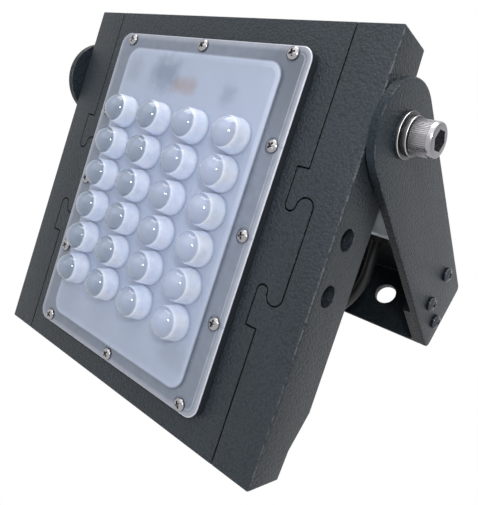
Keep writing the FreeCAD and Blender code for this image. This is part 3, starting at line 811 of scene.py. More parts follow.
    def grey(self, paint: Paint, place: bpy.types.NodeSocket, from_edge: Value,
             streak: Value) -> bpy.types.NodeSocket:
        """Adds the flange, which the casting darkens, with painted highlight lines along its edge.

        Args:
            paint: Tree that it is added to.
            place: Point in the upright head.
            from_edge: Distance to the plate's edge.
            streak: Noise that breaks the lines.

        Returns:
            The flange's colour.
        """
        x, _, z = paint.split(place)
        body = paint.mix((streak - 0.5) * 1.4 + 0.5,
                         tinted(self.flange, 0.85), tinted(self.flange, 1.12))
        dim = x.ramp(*self.dim_across) * z.ramp(*self.dim_upward)
        body = paint.mix(dim * 0.75, body, tinted(self.flange, 0.45))
        # Painted highlight lines along the flange's edge, brighter towards the right.
        line = 1.0 - (from_edge + self.inner_line).absolute().ramp(0.1 * MM, 0.7 * MM)
        body = paint.mix(line * x.ramp(60 * MM, 75 * MM) * (streak * 0.9), body, self.edge)
        body = paint.mix(from_edge.ramp(*self.glow_band) * (0.35 + streak * 0.3), body, self.edge)
        right = x.ramp(45 * MM, 80 * MM) * 0.5 + 0.5
        return paint.mix(from_edge.ramp(*self.edge_band) * right, body, tinted(self.edge, 1.3))

    def material(self) -> bpy.types.Material:
        """Returns: the material."""
        paint = Paint(self.name)
        place = paint.place_in_head()
        x, y, z = paint.split(place)
        from_edge = self.inset(x, z, self.half, self.corner)
        from_field = self.inset(x, z, self.field_half, self.field_corner)
        streak = paint.noise(place, 7 * MM, 3.0, 0.6)
        haze = self.haze(paint, place, from_field, streak)
        grey = self.grey(paint, place, from_edge, streak)
        body = paint.mix(from_field.ramp(*self.field_blend), haze, grey)
        behind = y.ramp(self.front + 0.5 * MM, self.front + 0.8 * MM)
        body = paint.mix(from_edge.ramp(*self.wall_band) * behind, body, self.side)
        scuffs = paint.noise(place, 2.0 * MM, 3.0, 0.7)
        shader = paint.principled({
            "Base Color": body,
            "Roughness": 0.30 + (scuffs - 0.5) * 0.08,
            "IOR": 1.58,
            "Normal": paint.bump(paint.noise(place, 9 * MM), 0.06 * MM),
        })
        return paint.finish(shader)


@dataclass(frozen=True)
class DomeResin:
    """Pearly domes: bright wall with a painted glow, painted highlight ring, cap showing the dim
    chamber.

    Attributes:
        name: Name of the material.
        wall: Colour of the wall.
        cap: Colour of the cap.
        far_cap: Colour of the caps towards the right of the head, where painted light makes the
            chamber brighter.
        warm: Tint of the warm clouds in the wall.
        veil_and_highlight_ring: Colour of the milky veils in the wall and of the painted highlight
            ring between wall and cap.
        glow: Share of the wall's colour that it gives off as a painted glow, though the resin is no
            lamp.
        foot: Level at which the domes stand.
        cap_start: Height above it at which the cap starts.
        cap_blend: Height over which the wall's colour gives way to the cap's.
        far: Places across between which the caps grow brighter.
    """

    name: str
    wall: Colour = (0.640, 0.710, 0.860)
    cap: Colour = (0.205, 0.260, 0.350)
    far_cap: Colour = (0.390, 0.450, 0.620)
    warm: Colour = (0.800, 0.790, 0.840)
    veil_and_highlight_ring: Colour = (0.860, 0.900, 0.980)
    glow: float = 0.13
    foot: float = -7.5 * MM
    cap_start: float = 10.6 * MM
    cap_blend: float = 1.2 * MM
    far: tuple[float, float] = (-40.0 * MM, 75.0 * MM)

    def material(self) -> bpy.types.Material:
        """Returns: the material."""
        paint = Paint(self.name)
        place = paint.place_in_head()
        x, y, _ = paint.split(place)
        height = self.foot - y
        veil = paint.noise(place, 8 * MM, 2.0)
        streaks = paint.noise(place, 2.5 * MM, 3.0)
        milk = paint.mix(veil.ramp(0.35, 0.65) * 0.45, self.wall, self.veil_and_highlight_ring)
        cloud = paint.noise(place, 6 * MM, 2.0).ramp(0.48, 0.64)
        warm = paint.mix(cloud * 0.6, milk, self.warm)
        rising = height.ramp(0.0, 4.0 * MM) * 0.8 + (streaks - 0.5) * 0.7
        low = paint.mix(rising, tinted(self.wall, 0.80), warm)
        # Caps lighter towards the right of the head: painted light.
        clear = paint.mix(x.ramp(*self.far), self.cap, self.far_cap)
        crown = height.ramp(14.0 * MM, 16.5 * MM) * 0.3 + (veil - 0.5) * 0.6
        middle = paint.mix(crown, clear, self.far_cap)
        start = self.cap_start
        wavy = height + (streaks - 0.5) * self.cap_blend
        body = paint.mix(wavy.ramp(start, start + self.cap_blend), low, middle)
        # Painted highlight ring between wall and cap.
        line = 1.0 - (height - start).absolute().ramp(0.1 * MM, 0.8 * MM)
        # Painted glow: the wall gives off its colour as light, the cap little.
        painted_glow_colour = paint.mix(height.ramp(start, start + 0.8 * MM),
                            self.wall, tinted(self.wall, 0.25))
        shader = paint.principled({
            "Base Color": paint.mix(line * (streaks * 0.9), body, self.veil_and_highlight_ring),
            "Emission Color": painted_glow_colour,
            "Emission Strength": self.glow,
            "Roughness": 0.10 + (streaks - 0.5) * 0.06,
            "IOR": 1.5,
            "Coat Weight": 0.5,
            "Coat Roughness": 0.03,
        })
        return paint.finish(shader)


@dataclass(frozen=True)
class Metal:
    """Bare or plated metal with fine marks.

    Attributes:
        name: Name of the material.
        colour: Colour of the metal.
        roughness: Mean roughness.
        mark: Size of the fine marks.
        relief: Depth of the marks.
        stain: Size of its stains.
        metallic: 1 for bare metal, less where a matt film lies on it.
    """

    name: str
    colour: Colour = (0.66, 0.65, 0.65)
    roughness: float = 0.24
    mark: float = 0.8 * MM
    relief: float = 0.01 * MM
    stain: float = 7.0 * MM
    metallic: float = 1.0

    def material(self) -> bpy.types.Material:
        """Returns: the material."""
        paint = Paint(self.name)
        place = paint.place()
        marks = paint.noise(place, self.mark, 4.0, 0.65)
        stain = paint.noise(place, self.stain, 2.0)
        shader = paint.principled({
            "Base Color": paint.mix(stain, tinted(self.colour, 0.82), self.colour),
            "Metallic": self.metallic,
            "Roughness": self.roughness + (marks - 0.5) * 0.25 + (stain - 0.5) * 0.08,
            "Normal": paint.bump(marks, self.relief),
        })
        return paint.finish(shader)


@dataclass(frozen=True)
class TurnedSteel:
    """Stainless steel turned about the pivot line, with painted reflection: dark faces, grey walls,
    and painted highlights on the edges.

    Attributes:
        name: Name of the material.
        face: Colour of faces square to the pivot line, painted darker.
        wall: Colour of walls along it.
        edge: Colour of the chamfers between them: a painted highlight.
    """

    name: str
    face: Colour = (0.210, 0.210, 0.225)
    wall: Colour = (0.400, 0.390, 0.410)
    edge: Colour = (0.360, 0.360, 0.380)

    def material(self) -> bpy.types.Material:
        """Returns: the material."""
        paint = Paint(self.name)
        place = paint.place()
        flat = paint.facing()[0].absolute()
        marks = paint.noise(place, 0.8 * MM, 4.0, 0.65)
        stain = paint.noise(place, 4 * MM, 3.0)
        # Colour by facing: painted reflection on faces and walls, painted highlight on the
        # chamfers.
        body = paint.mix(flat.ramp(0.75, 0.97), self.wall, self.face)
        bevel = flat.ramp(0.15, 0.40) * (1.0 - flat.ramp(0.86, 0.96))
        body = paint.mix(bevel, body, self.edge)
        shader = paint.principled({
            "Base Color": paint.mix((stain - 0.3) * 0.5, body, self.face),
            "Metallic": 1.0,
            "Roughness": 0.30 + (marks - 0.5) * 0.3,
            "Normal": paint.bump(marks, 0.012 * MM),
        })
        return paint.finish(shader)


@dataclass(frozen=True)
class Moulded:
    """Plain moulding: rubber, nylon, resin or solder mask.

    Attributes:
        name: Name of the material.
        colour: Colour of the moulding.
        roughness: Mean roughness.
        grain: Size of its grain.
        relief: Depth of its grain.
    """

    name: str
    colour: Colour
    roughness: float = 0.5
    grain: float = 0.5 * MM
    relief: float = 0.02 * MM

    def material(self) -> bpy.types.Material:
        """Returns: the material."""
        paint = Paint(self.name)
        place = paint.place()
        grain = paint.noise(place, self.grain, 3.0)
        shade = paint.noise(place, 12 * MM, 2.0)
        shader = paint.principled({
            "Base Color": paint.mix(shade, tinted(self.colour, 0.8), tinted(self.colour, 1.2)),
            "Roughness": self.roughness + (grain - 0.5) * 0.2,
            "Normal": paint.bump(grain, self.relief),
        })
        return paint.finish(shader)


@dataclass(frozen=True)
class Backdrop:
    """Floor whose colour the camera, metal and clear plastic see as white.

    Attributes:
        name: Name of the material.
        colour: Colour that lights the object.
    """

    name: str
    colour: Colour = (0.80, 0.80, 0.80)

    def material(self) -> bpy.types.Material:
        """Returns: the material."""
        paint = Paint(self.name)
        surface = paint.principled({"Base Color": self.colour, "Roughness": 0.9})
        glow = paint.node("ShaderNodeEmission", None, {"Color": WHITE, "Strength": 1.0}).outputs[0]
        sockets = {0: paint.seen(), 1: surface, 2: glow}
        return paint.finish(paint.node("ShaderNodeMixShader", None, sockets).outputs[0])


class FinishRack:
    """All the finishes, each made once."""

    def __init__(self) -> None:
        """Makes the finishes of this object."""
        self.coat = PowderCoat("coat_of_castings", seams=True).material()
        self.bracket_coat = PowderCoat("coat_of_bracket", (0.025, 0.036, 0.047)).material()
        # The base plate's coat is a darker copy of the same paint: painted shade for the shadow it
        # lies in.
        self.shaded_base_coat = PowderCoat("coat_of_base", (0.012, 0.018, 0.023)).material()
        # A darker, duller copy of the bracket's coat for its cut edges: painted shade.
        self.shaded_cut_coat = PowderCoat("coat_of_cut_edges", (0.020, 0.029, 0.037), shine=0.12,
                                   shaded_towards_wall=True).material()
        # Painted highlights for the softened edges; the seamed one also has painted shade in the
        # seams.
        self.edge = PaintedHighlightEdge("rubbed_edge").material()
        self.seamed_edge = PaintedHighlightEdge("seamed_edge", seams=True).material()
        self.cover = CoverPlastic("milky_cover").material()
        self.domes = DomeResin("dome_resin").material()
        self.stainless = Metal("stainless_steel", (0.40, 0.39, 0.40), 0.18).material()
        self.turned = TurnedSteel("turned_stainless").material()
        # The washers' chamfers are painted near white: painted highlight.
        self.washers = TurnedSteel("washer_steel", face=(0.060, 0.060, 0.065),
                                   wall=(0.120, 0.120, 0.125),
                                   edge=(0.950, 0.950, 0.960)).material()
        self.zinc = Metal("dark_zinc", (0.075, 0.080, 0.095), 0.26).material()
        self.nickel = Metal("nickel_plate", (0.84, 0.93, 0.98), 0.45, metallic=0.15).material()
        self.rubber = Moulded("black_rubber", (0.012, 0.012, 0.013), 0.6).material()
        self.jacket = Moulded("cable_jacket", (0.007, 0.007, 0.008), 0.55).material()
        self.nylon = Moulded("black_nylon", (0.016, 0.016, 0.017), 0.5).material()
        self.mask = Moulded("white_solder_mask", (0.70, 0.72, 0.72), 0.4).material()
        self.emitter = Moulded("emitter_resin", (0.75, 0.68, 0.35), 0.2).material()
        self.chip = Moulded("black_component", (0.02, 0.02, 0.02), 0.45).material()
        self.floor = Backdrop("white_floor").material()


class MeshShop:
    """Mesh and object work that every sub-assembly uses."""

    @staticmethod
    def new_object(name: str, mesh: bpy.types.Mesh) -> bpy.types.Object:
        """Links a mesh as an object.

        Args:
            name: Name of the piece.
            mesh: Its mesh.

        Returns:
            The object.
        """
        made = bpy.data.objects.new(name, mesh)
        bpy.context.scene.collection.objects.link(made)
        return made

    @staticmethod
    def closed(name: str, shape: bmesh.types.BMesh) -> bpy.types.Mesh:
        """Turns a finished shape into a mesh, with its faces outwards.

        Args:
            name: Name of the mesh.
            shape: The shape, which is freed.

        Returns:
            The mesh.
        """
        bmesh.ops.recalc_face_normals(shape, faces=shape.faces)
        mesh = bpy.data.meshes.new(name)
        shape.to_mesh(mesh)
        shape.free()
        return mesh

    @staticmethod
    def hexagon(across_flats: float) -> list[tuple[float, float]]:
        """Returns: the corners of a hexagon, anticlockwise.

        Args:
            across_flats: Its width from flat to flat.
        """
        radius = across_flats / math.sqrt(3)
        turns = [math.radians(60 * k) for k in range(6)]
        return [(radius * math.cos(turn), radius * math.sin(turn)) for turn in turns]

    @classmethod
    def lathe(cls, name: str, profile: Sequence[tuple[float, float]],
              segments: int = 40) -> bpy.types.Mesh:
        """Turns a closed outline about Z.

        Args:
            name: Name of the mesh.
            profile: (radius, height) points from the lower end of the axis to its upper end.
            segments: Steps round the axis.

        Returns:
            The mesh, with its faces outwards.
        """
        shape = bmesh.new()
        turns = [2 * math.pi * k / segments for k in range(segments)]
        rings: list[list[bmesh.types.BMVert]] = []
        for radius, height in profile:
            around = turns[:1] if radius < TOUCHING else turns
            spots = [(radius * math.cos(turn), radius * math.sin(turn), height) for turn in around]
            rings.append([shape.verts.new(spot) for spot in spots])
        for low, high in zip(rings, rings[1:]):
            for k in range(segments):
                after = (k + 1) % segments
                corners = [low[k % len(low)], low[after % len(low)],
                           high[after % len(high)], high[k % len(high)]]
                unique = list(dict.fromkeys(corners))
                if len(unique) > 2:
                    shape.faces.new(unique)
        return cls.closed(name, shape)

    @classmethod
    def prism(cls, name: str, outline: Sequence[tuple[float, float]], low: float, high: float,
              taper: float = 1.0) -> bpy.types.Mesh:
        """Extrudes an outline along Z.

        Args:
            name: Name of the mesh.
            outline: (x, y) corners, anticlockwise.
            low: Height of the lower end.
            high: Height of the upper end.
            taper: Scale of the lower end against the upper one.

        Returns:
            The mesh.
        """
        shape = bmesh.new()
        bottom = [shape.verts.new((x * taper, y * taper, low)) for x, y in outline]
        top = [shape.verts.new((x, y, high)) for x, y in outline]
        shape.faces.new(list(reversed(bottom)))
        shape.faces.new(top)
        for k in range(len(outline)):
            after = (k + 1) % len(outline)
            shape.faces.new([bottom[k], bottom[after], top[after], top[k]])
        return cls.closed(name, shape)

    @classmethod
    def carve(cls, body: bpy.types.Mesh, cutter: bpy.types.Mesh) -> bpy.types.Mesh:
        """Cuts one mesh with another.

        Args:
            body: Mesh that is cut.
            cutter: Mesh that cuts.

        Returns:
            The result as a new mesh.
        """
        part = cls.new_object("carve_body", body)
        tool = cls.new_object("carve_tool", cutter)
        change = part.modifiers.new("cut", "BOOLEAN")
        change.operation = "DIFFERENCE"
        change.object = tool
        change.solver = "EXACT"
        result = cls.baked(part)
        for used in (part, tool):
            bpy.data.objects.remove(used)
        return result

    @staticmethod
    def baked(source: bpy.types.Object) -> bpy.types.Mesh:
        """Returns: the object's mesh with its modifiers applied.

        Args:
            source: Object with modifiers.
        """
        bpy.context.view_layer.update()
        graph = bpy.context.evaluated_depsgraph_get()
        return bpy.data.meshes.new_from_object(source.evaluated_get(graph), depsgraph=graph)

    @staticmethod
    def smooth(mesh: bpy.types.Mesh, angle: float = 32.0) -> bpy.types.Mesh:
        """Shades a mesh smooth, and sharp where its faces turn more.

        Args:
            mesh: Mesh to shade.
            angle: Turn in degrees past which an edge is sharp.

        Returns:
            The same mesh.
        """
        shape = bmesh.new()
        shape.from_mesh(mesh)
        bmesh.ops.remove_doubles(shape, verts=shape.verts, dist=TOUCHING)
        bmesh.ops.recalc_face_normals(shape, faces=shape.faces)
        MeshShop.shade(shape, angle)
        shape.to_mesh(mesh)
        shape.free()
        return mesh

    @staticmethod
    def shade(shape: bmesh.types.BMesh, angle: float) -> None:
        """Sets which edges of a shape are shaded sharp.

        Args:
            shape: The shape.
            angle: Turn in degrees past which an edge is sharp.
        """
        for face in shape.faces:
            face.smooth = True
        for edge in shape.edges:
            turn = edge.calc_face_angle(0.0) if len(edge.link_faces) == 2 else math.pi
            edge.smooth = turn < math.radians(angle)

    @staticmethod
    def merged(name: str, meshes: Sequence[bpy.types.Mesh]) -> bpy.types.Mesh:
        """Puts meshes into one.

        Args:
            name: Name of the new mesh.
            meshes: What goes in.

        Returns:
            The mesh.
        """
        shape = bmesh.new()
        for mesh in meshes:
            shape.from_mesh(mesh)
        whole = bpy.data.meshes.new(name)
        shape.to_mesh(whole)
        shape.free()
        return whole

    @classmethod
    def piece(cls, name: str, mesh: bpy.types.Mesh, material: bpy.types.Material, body: Body,
              slot: Slot, nodes: Iterable[str] = ()) -> bpy.types.Object:
        """Puts a finished piece on its body.

        Args:
            name: Name of the piece.
            mesh: Its mesh, in the part's frame.
            material: Its finish.
            body: Body that it rides on.
            slot: Material slot of the record; not used.
            nodes: CAD nodes that it stands for.

        Returns:
            The piece.
        """
        mesh.name = name
        mesh.materials.clear()
        mesh.materials.append(material)
        made = cls.new_object(name, mesh)
        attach(made, body.value)
        if nodes:
            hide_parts(*nodes)
        LOG.info("piece %s: %d faces", name, len(mesh.polygons))
        return made


class GeometryRecipe(Graph):
    """A Geometry Nodes tree with named inputs."""

    def __init__(self, name: str) -> None:
        """Makes the tree.

        Args:
            name: Name of the tree.
        """
        super().__init__(bpy.data.node_groups.new(name, "GeometryNodeTree"))
        self.identifiers: dict[str, str] = {}
        self.entry = self.node("NodeGroupInput")

    def take(self, name: str, kind: str) -> bpy.types.NodeSocket:
        """Adds a named input.

        Args:
            name: Name of the input.
            kind: Socket type.

        Returns:
            Its socket inside the tree.
        """
        made = self.tree.interface.new_socket(name=name, in_out="INPUT", socket_type=kind)
        self.identifiers[name] = made.identifier
        return self.entry.outputs[name]

    def take_number(self, name: str) -> Value:
        """Returns: a named number input as a Value.

        Args:
            name: Name of the input.
        """
        return Value(self, self.take(name, "NodeSocketFloat"))

    def close(self, geometry: bpy.types.NodeSocket, material: bpy.types.NodeSocket) -> None:
        """Ends the tree in realized, dressed geometry.

        Args:
            geometry: Last geometry.
            material: Material input.
        """
        self.tree.interface.new_socket(name="Geometry", in_out="OUTPUT",
                                       socket_type="NodeSocketGeometry")
        real = self.node("GeometryNodeRealizeInstances", None, {0: geometry}).outputs[0]
        dressed = self.node("GeometryNodeSetMaterial", None,
                            {"Geometry": real, "Material": material}).outputs[0]
        self.node("NodeGroupOutput", None, {0: dressed})

    def run(self, inputs: dict[str, object], base: bpy.types.Mesh | None = None) -> bpy.types.Mesh:
        """Runs the tree on a mesh.

        Args:
            inputs: Values of the named inputs.
            base: Mesh that the tree starts from.

        Returns:
            The result as a plain mesh.
        """
        host = MeshShop.new_object("recipe_host", base or bpy.data.meshes.new("empty"))
        change = host.modifiers.new("recipe", "NODES")
        change.node_group = self.tree
        for name, value in inputs.items():
            change[self.identifiers[name]] = value
        mesh = MeshShop.baked(host)
        bpy.data.objects.remove(host)
        return mesh


class DomeRecipe(GeometryRecipe):
    """Rows of dome lenses, each a flat foot, a turned wall and a half ball."""

    WALL_SHARE = 0.2
    MERGE = 1e-5
    CLEAR_OF_FOOT = 1e-5

    def __init__(self) -> None:
        """Writes the tree."""
        super().__init__("dome_rows")
        material = self.take("Material", "NodeSocketMaterial")
        columns = self.take("Columns", "NodeSocketInt")
        rows = self.take("Rows", "NodeSocketInt")
        width = self.take_number("Width of field")
        length = self.take_number("Length of field")
        base = self.take_number("Base radius")
        top = self.take_number("Top radius")
        height = self.take_number("Height")
        segments = self.take("Segments", "NodeSocketInt")
        rings = self.take("Rings", "NodeSocketInt")
        sheet = self.node("GeometryNodeMeshGrid", None, {
            "Size X": 1.0, "Size Y": 1.0, "Vertices X": segments, "Vertices Y": rings})
        u, v, z = self.split(self.node("GeometryNodeInputPosition").outputs[0])
        turn = (u + 0.5) * (2 * math.pi)
        steps = Value(self, rings) - 1.0
        ring = (v + 0.5) * steps
        along = (ring - 1.0).most(0.0) / (steps - 1.0)
        on_ball = along.above(self.WALL_SHARE)
        climb = (along / self.WALL_SHARE).least(1.0)
        rise = ((along - self.WALL_SHARE) / (1.0 - self.WALL_SHARE)).most(0.0) * (math.pi / 2)
        wall_radius = base + (top - base) * climb
        ball_radius = top * rise.math("COSINE")
        off_axis = ring.above(0.5)
        radius = (wall_radius * (1.0 - on_ball) + ball_radius * on_ball) * off_axis
        level = (height - top) * climb + top * rise.math("SINE") * on_ball
        spot = self.join(radius * turn.math("COSINE"), radius * turn.math("SINE"), level)
        bent = self.node("GeometryNodeSetPosition", None,
                         {"Geometry": sheet.outputs[0], "Position": spot}).outputs[0]
        closed = self.node("GeometryNodeMergeByDistance", None,
                           {"Geometry": bent, "Distance": self.MERGE}).outputs[0]
        above_foot = z.above(self.CLEAR_OF_FOOT)
        dome = self.node("GeometryNodeSetShadeSmooth", None,
                         {"Geometry": closed, "Shade Smooth": above_foot}).outputs[0]
        places = self.node("GeometryNodeMeshGrid", None, {
            "Size X": width, "Size Y": length, "Vertices X": columns, "Vertices Y": rows})
        domes = self.node("GeometryNodeInstanceOnPoints", None,
                          {"Points": places.outputs[0], "Instance": dome}).outputs[0]
        self.close(domes, material)


class FastenerRecipe(GeometryRecipe):
    """One fastener at each point, with its recess turned at random."""

    def __init__(self) -> None:
        """Writes the tree."""
        super().__init__("fasteners")
        points = self.take("Points", "NodeSocketGeometry")
        material = self.take("Material", "NodeSocketMaterial")
        pattern = self.take("Fastener", "NodeSocketObject")
        seed = self.take("Seed", "NodeSocketInt")
        turn = self.node("FunctionNodeRandomValue", {"data_type": "FLOAT"},
                         {"Min": 0.0, "Max": 2 * math.pi, "Seed": seed})
        angle = next(out for out in turn.outputs if out.enabled and out.type == "VALUE")
        spin = self.join(0.0, 0.0, Value(self, angle))
        model = self.node("GeometryNodeObjectInfo", None, {"Object": pattern}).outputs["Geometry"]
        copies = self.node("GeometryNodeInstanceOnPoints", None,
                           {"Points": points, "Instance": model, "Rotation": spin}).outputs[0]
        self.close(copies, material)

    def spread(self, pattern: bpy.types.Mesh, places: Sequence[Point],
               material: bpy.types.Material, seed: int) -> bpy.types.Mesh:
        """Sets fasteners at points, heads up.

        Args:
            pattern: Mesh of one fastener, its head towards +Z.
            places: Where each one's seat lies.
            material: Their finish.
            seed: Seed of the random turns.

        Returns:
            One mesh of all of them.
        """
        model = MeshShop.new_object("fastener_pattern", pattern)
        base = bpy.data.meshes.new("fastener_places")
        base.from_pydata([tuple(place) for place in places], [], [])
        mesh = self.run({"Material": material, "Fastener": model, "Seed": seed}, base)
        bpy.data.objects.remove(model)
        return mesh


class RingRecipe(GeometryRecipe):
    """Copies of a small ridge in a ring round Z."""

    def __init__(self) -> None:
        """Writes the tree."""
        super().__init__("ring_of_ridges")
        material = self.take("Material", "NodeSocketMaterial")
        pattern = self.take("Ridge", "NodeSocketObject")
        count = self.take("Count", "NodeSocketInt")
        radius = self.take_number("Radius")
        circle = self.node("GeometryNodeMeshCircle", None,
                           {"Vertices": count, "Radius": radius}).outputs[0]
        x, y, _ = self.split(self.node("GeometryNodeInputPosition").outputs[0])
        spin = self.join(0.0, 0.0, y.math("ARCTAN2", x))
        ridge = self.node("GeometryNodeObjectInfo", None, {"Object": pattern}).outputs["Geometry"]
        copies = self.node("GeometryNodeInstanceOnPoints", None,
                           {"Points": circle, "Instance": ridge, "Rotation": spin}).outputs[0]
        self.close(copies, material)

    def around(self, ridge: bpy.types.Mesh, count: int, radius: float,
               material: bpy.types.Material) -> bpy.types.Mesh:
        """Sets ridges in a ring.

        Args:
            ridge: Mesh of one ridge, at +X.
            count: Number of ridges.
            radius: Radius of the ring.
            material: Their finish.

        Returns:
            One mesh of all of them.
        """
        model = MeshShop.new_object("ridge_pattern", ridge)
        mesh = self.run({"Material": material, "Ridge": model, "Count": count, "Radius": radius})
        bpy.data.objects.remove(model)
        return mesh


@dataclass(frozen=True)
class Screw:
    """A cross-recess pan head screw with its seat at Z = 0 and its head upwards.

    Attributes:
        diameter: Diameter of the shank.
        length: Length under the head.
        head: Diameter of the head.
        head_height: Height of the head.
        cross: Length of the recess across the head.
        cross_depth: Depth of the recess.
        arm_share: Half width of a recess arm, as a share of the recess's length.
        taper: Size of the recess's lower end against its upper end.
    """

    diameter: float
    length: float
    head: float
    head_height: float
    cross: float
    cross_depth: float
    arm_share: float = 0.14
    taper: float = 0.55

    def outline(self) -> list[tuple[float, float]]:
        """Returns: the turned outline from the tip to the crown."""
        shank, rim = self.diameter / 2, self.head / 2
        tip = [(0.0, -self.length), (shank * 0.8, -self.length),
               (shank, -self.length + shank * 0.3), (shank, 0.0)]
        crown = [(rim * math.cos(turn), self.head_height * (0.4 + 0.6 * math.sin(turn)))
                 for turn in (math.radians(step) for step in range(0, 90, 12))]
        return [*tip, (rim * 0.98, 0.0), (rim, self.head_height * 0.12), *crown,
                (0.0, self.head_height)]

    def cutter(self) -> bpy.types.Mesh:
        """Returns: the mesh that cuts the recess."""
        low, high = self.head_height - self.cross_depth, self.head_height * 1.3
        long, wide = self.cross / 2, self.cross * self.arm_share
        corners = [(wide, -long), (wide, -wide), (long, -wide), (long, wide),
                   (wide, wide), (wide, long), (-wide, long), (-wide, wide),
                   (-long, wide), (-long, -wide), (-wide, -wide), (-wide, -long)]
        return MeshShop.prism("cross_cutter", corners, low, high, self.taper)

    def mesh(self) -> bpy.types.Mesh:
        """Returns: the finished screw."""
        turned = MeshShop.lathe("turned_screw", self.outline())
        return MeshShop.smooth(MeshShop.carve(turned, self.cutter()))


class EdgeSoftener:
    """Copies a CAD node with its sharp edges softened."""

    FLAT = math.radians(0.3)
    SHARP = math.radians(35)
    SMOOTH = 28.0
    MERGE = 0.03 * MM
    ON_FRONT = 0.02 * MM

    def __init__(self, width: float, front_only: bool = False) -> None:
        """Sets how edges are softened.

        Args:
            width: Width taken off at each side of an edge.
            front_only: Whether only edges of the head's front face are softened.
        """
        self.width = width
        self.front_only = front_only
        self.upright = HEAD.matrix().inverted()

    def chosen(self, edge: bmesh.types.BMEdge) -> bool:
        """Tells whether an edge is softened.

        Args:
            edge: Edge of the copy.

        Returns:
            True where it is sharp, and on the front face if only those are wanted.
        """
        if len(edge.link_faces) != 2 or edge.calc_face_angle(0.0) < self.SHARP:
            return False
        if not self.front_only:
            return True
        return all(abs((self.upright @ vertex.co).y) < self.ON_FRONT for vertex in edge.verts)

    def copy(self, source: bpy.types.Object) -> bpy.types.Mesh:
        """Makes the softened copy.

        Args:
            source: CAD node.

        Returns:
            The copy, with its softened edges in material index 1.
        """
        shape = bmesh.new()
        shape.from_mesh(source.data)
        bmesh.ops.remove_doubles(shape, verts=shape.verts, dist=self.MERGE)
        for face in shape.faces:
            face.material_index = 0
        bmesh.ops.dissolve_limit(shape, angle_limit=self.FLAT, verts=shape.verts, edges=shape.edges)
        edges = [edge for edge in shape.edges if self.chosen(edge)]
        bmesh.ops.bevel(shape, geom=edges, offset=self.width, offset_type="OFFSET", segments=1,
                        profile=0.5, affect="EDGES", clamp_overlap=False, material=1)
        bmesh.ops.triangulate(shape, faces=[face for face in shape.faces if len(face.verts) > 4])
        MeshShop.shade(shape, self.SMOOTH)
        mesh = bpy.data.meshes.new("softened")
        shape.to_mesh(mesh)
        shape.free()
        return mesh


class SubAssembly:
    """What the sub-assemblies share."""

    def __init__(self, frame: dict, rack: FinishRack) -> None:
        """Keeps the frame and the finishes.

        Args:
            rack: The finishes.
        """
        self.frame = frame
        self.rack = rack

    def dress(self, node: str, material: bpy.types.Material) -> None:
        """Gives a CAD node its finish.

        Args:
            node: Name of the node.
            material: Its finish.
        """
        shown = self.frame["nodes"][node]
        if not shown.material_slots:
            shown.data.materials.append(material)
        for slot in shown.material_slots:
            slot.material = material
        LOG.info("dressed %s in %s", node, material.name)

    def soften(self, node: str, name: str, material: bpy.types.Material,
               edge: bpy.types.Material, body: Body, slot: Slot,
               softener: EdgeSoftener) -> bpy.types.Object:
        """Shows a CAD node as a copy with softened edges that carry painted highlights.

        Args:
            node: Name of the node.
            name: Name of the copy.
            material: Finish of its faces.
            edge: Finish of its edges.
            body: Body that it rides on.
            slot: Material slot of the record.
            softener: How its edges are softened.

        Returns:
            The copy.
        """
        copy = softener.copy(self.frame["nodes"][node])
        made = MeshShop.piece(name, copy, material, body, slot, [node])
        made.data.materials.append(edge)
        return made


@dataclass(frozen=True)
class CoverSizes:
    """Sizes of the lens plate, as in the CAD model."""

    front: float = 6.0 * MM
    field_rise: float = 1.5 * MM
    columns: int = 4
    rows: int = 6
    pitch_x: float = 33.3 * MM
    pitch_z: float = 21.8 * MM
    drop: float = 4.4 * MM
    dome_base: float = 10.7 * MM
    dome_top: float = 9.7 * MM
    dome_height: float = 16.5 * MM
    skin: float = 0.05 * MM
    dome_segments: int = 49
    dome_rings: int = 19
    screw_side_x: float = 75.1 * MM
    screw_corner_x: float = 69.4 * MM
    screw_end_z: float = 99.2 * MM
    screw_mid_z: float = 49.6 * MM
    seat_depth: float = 0.5 * MM


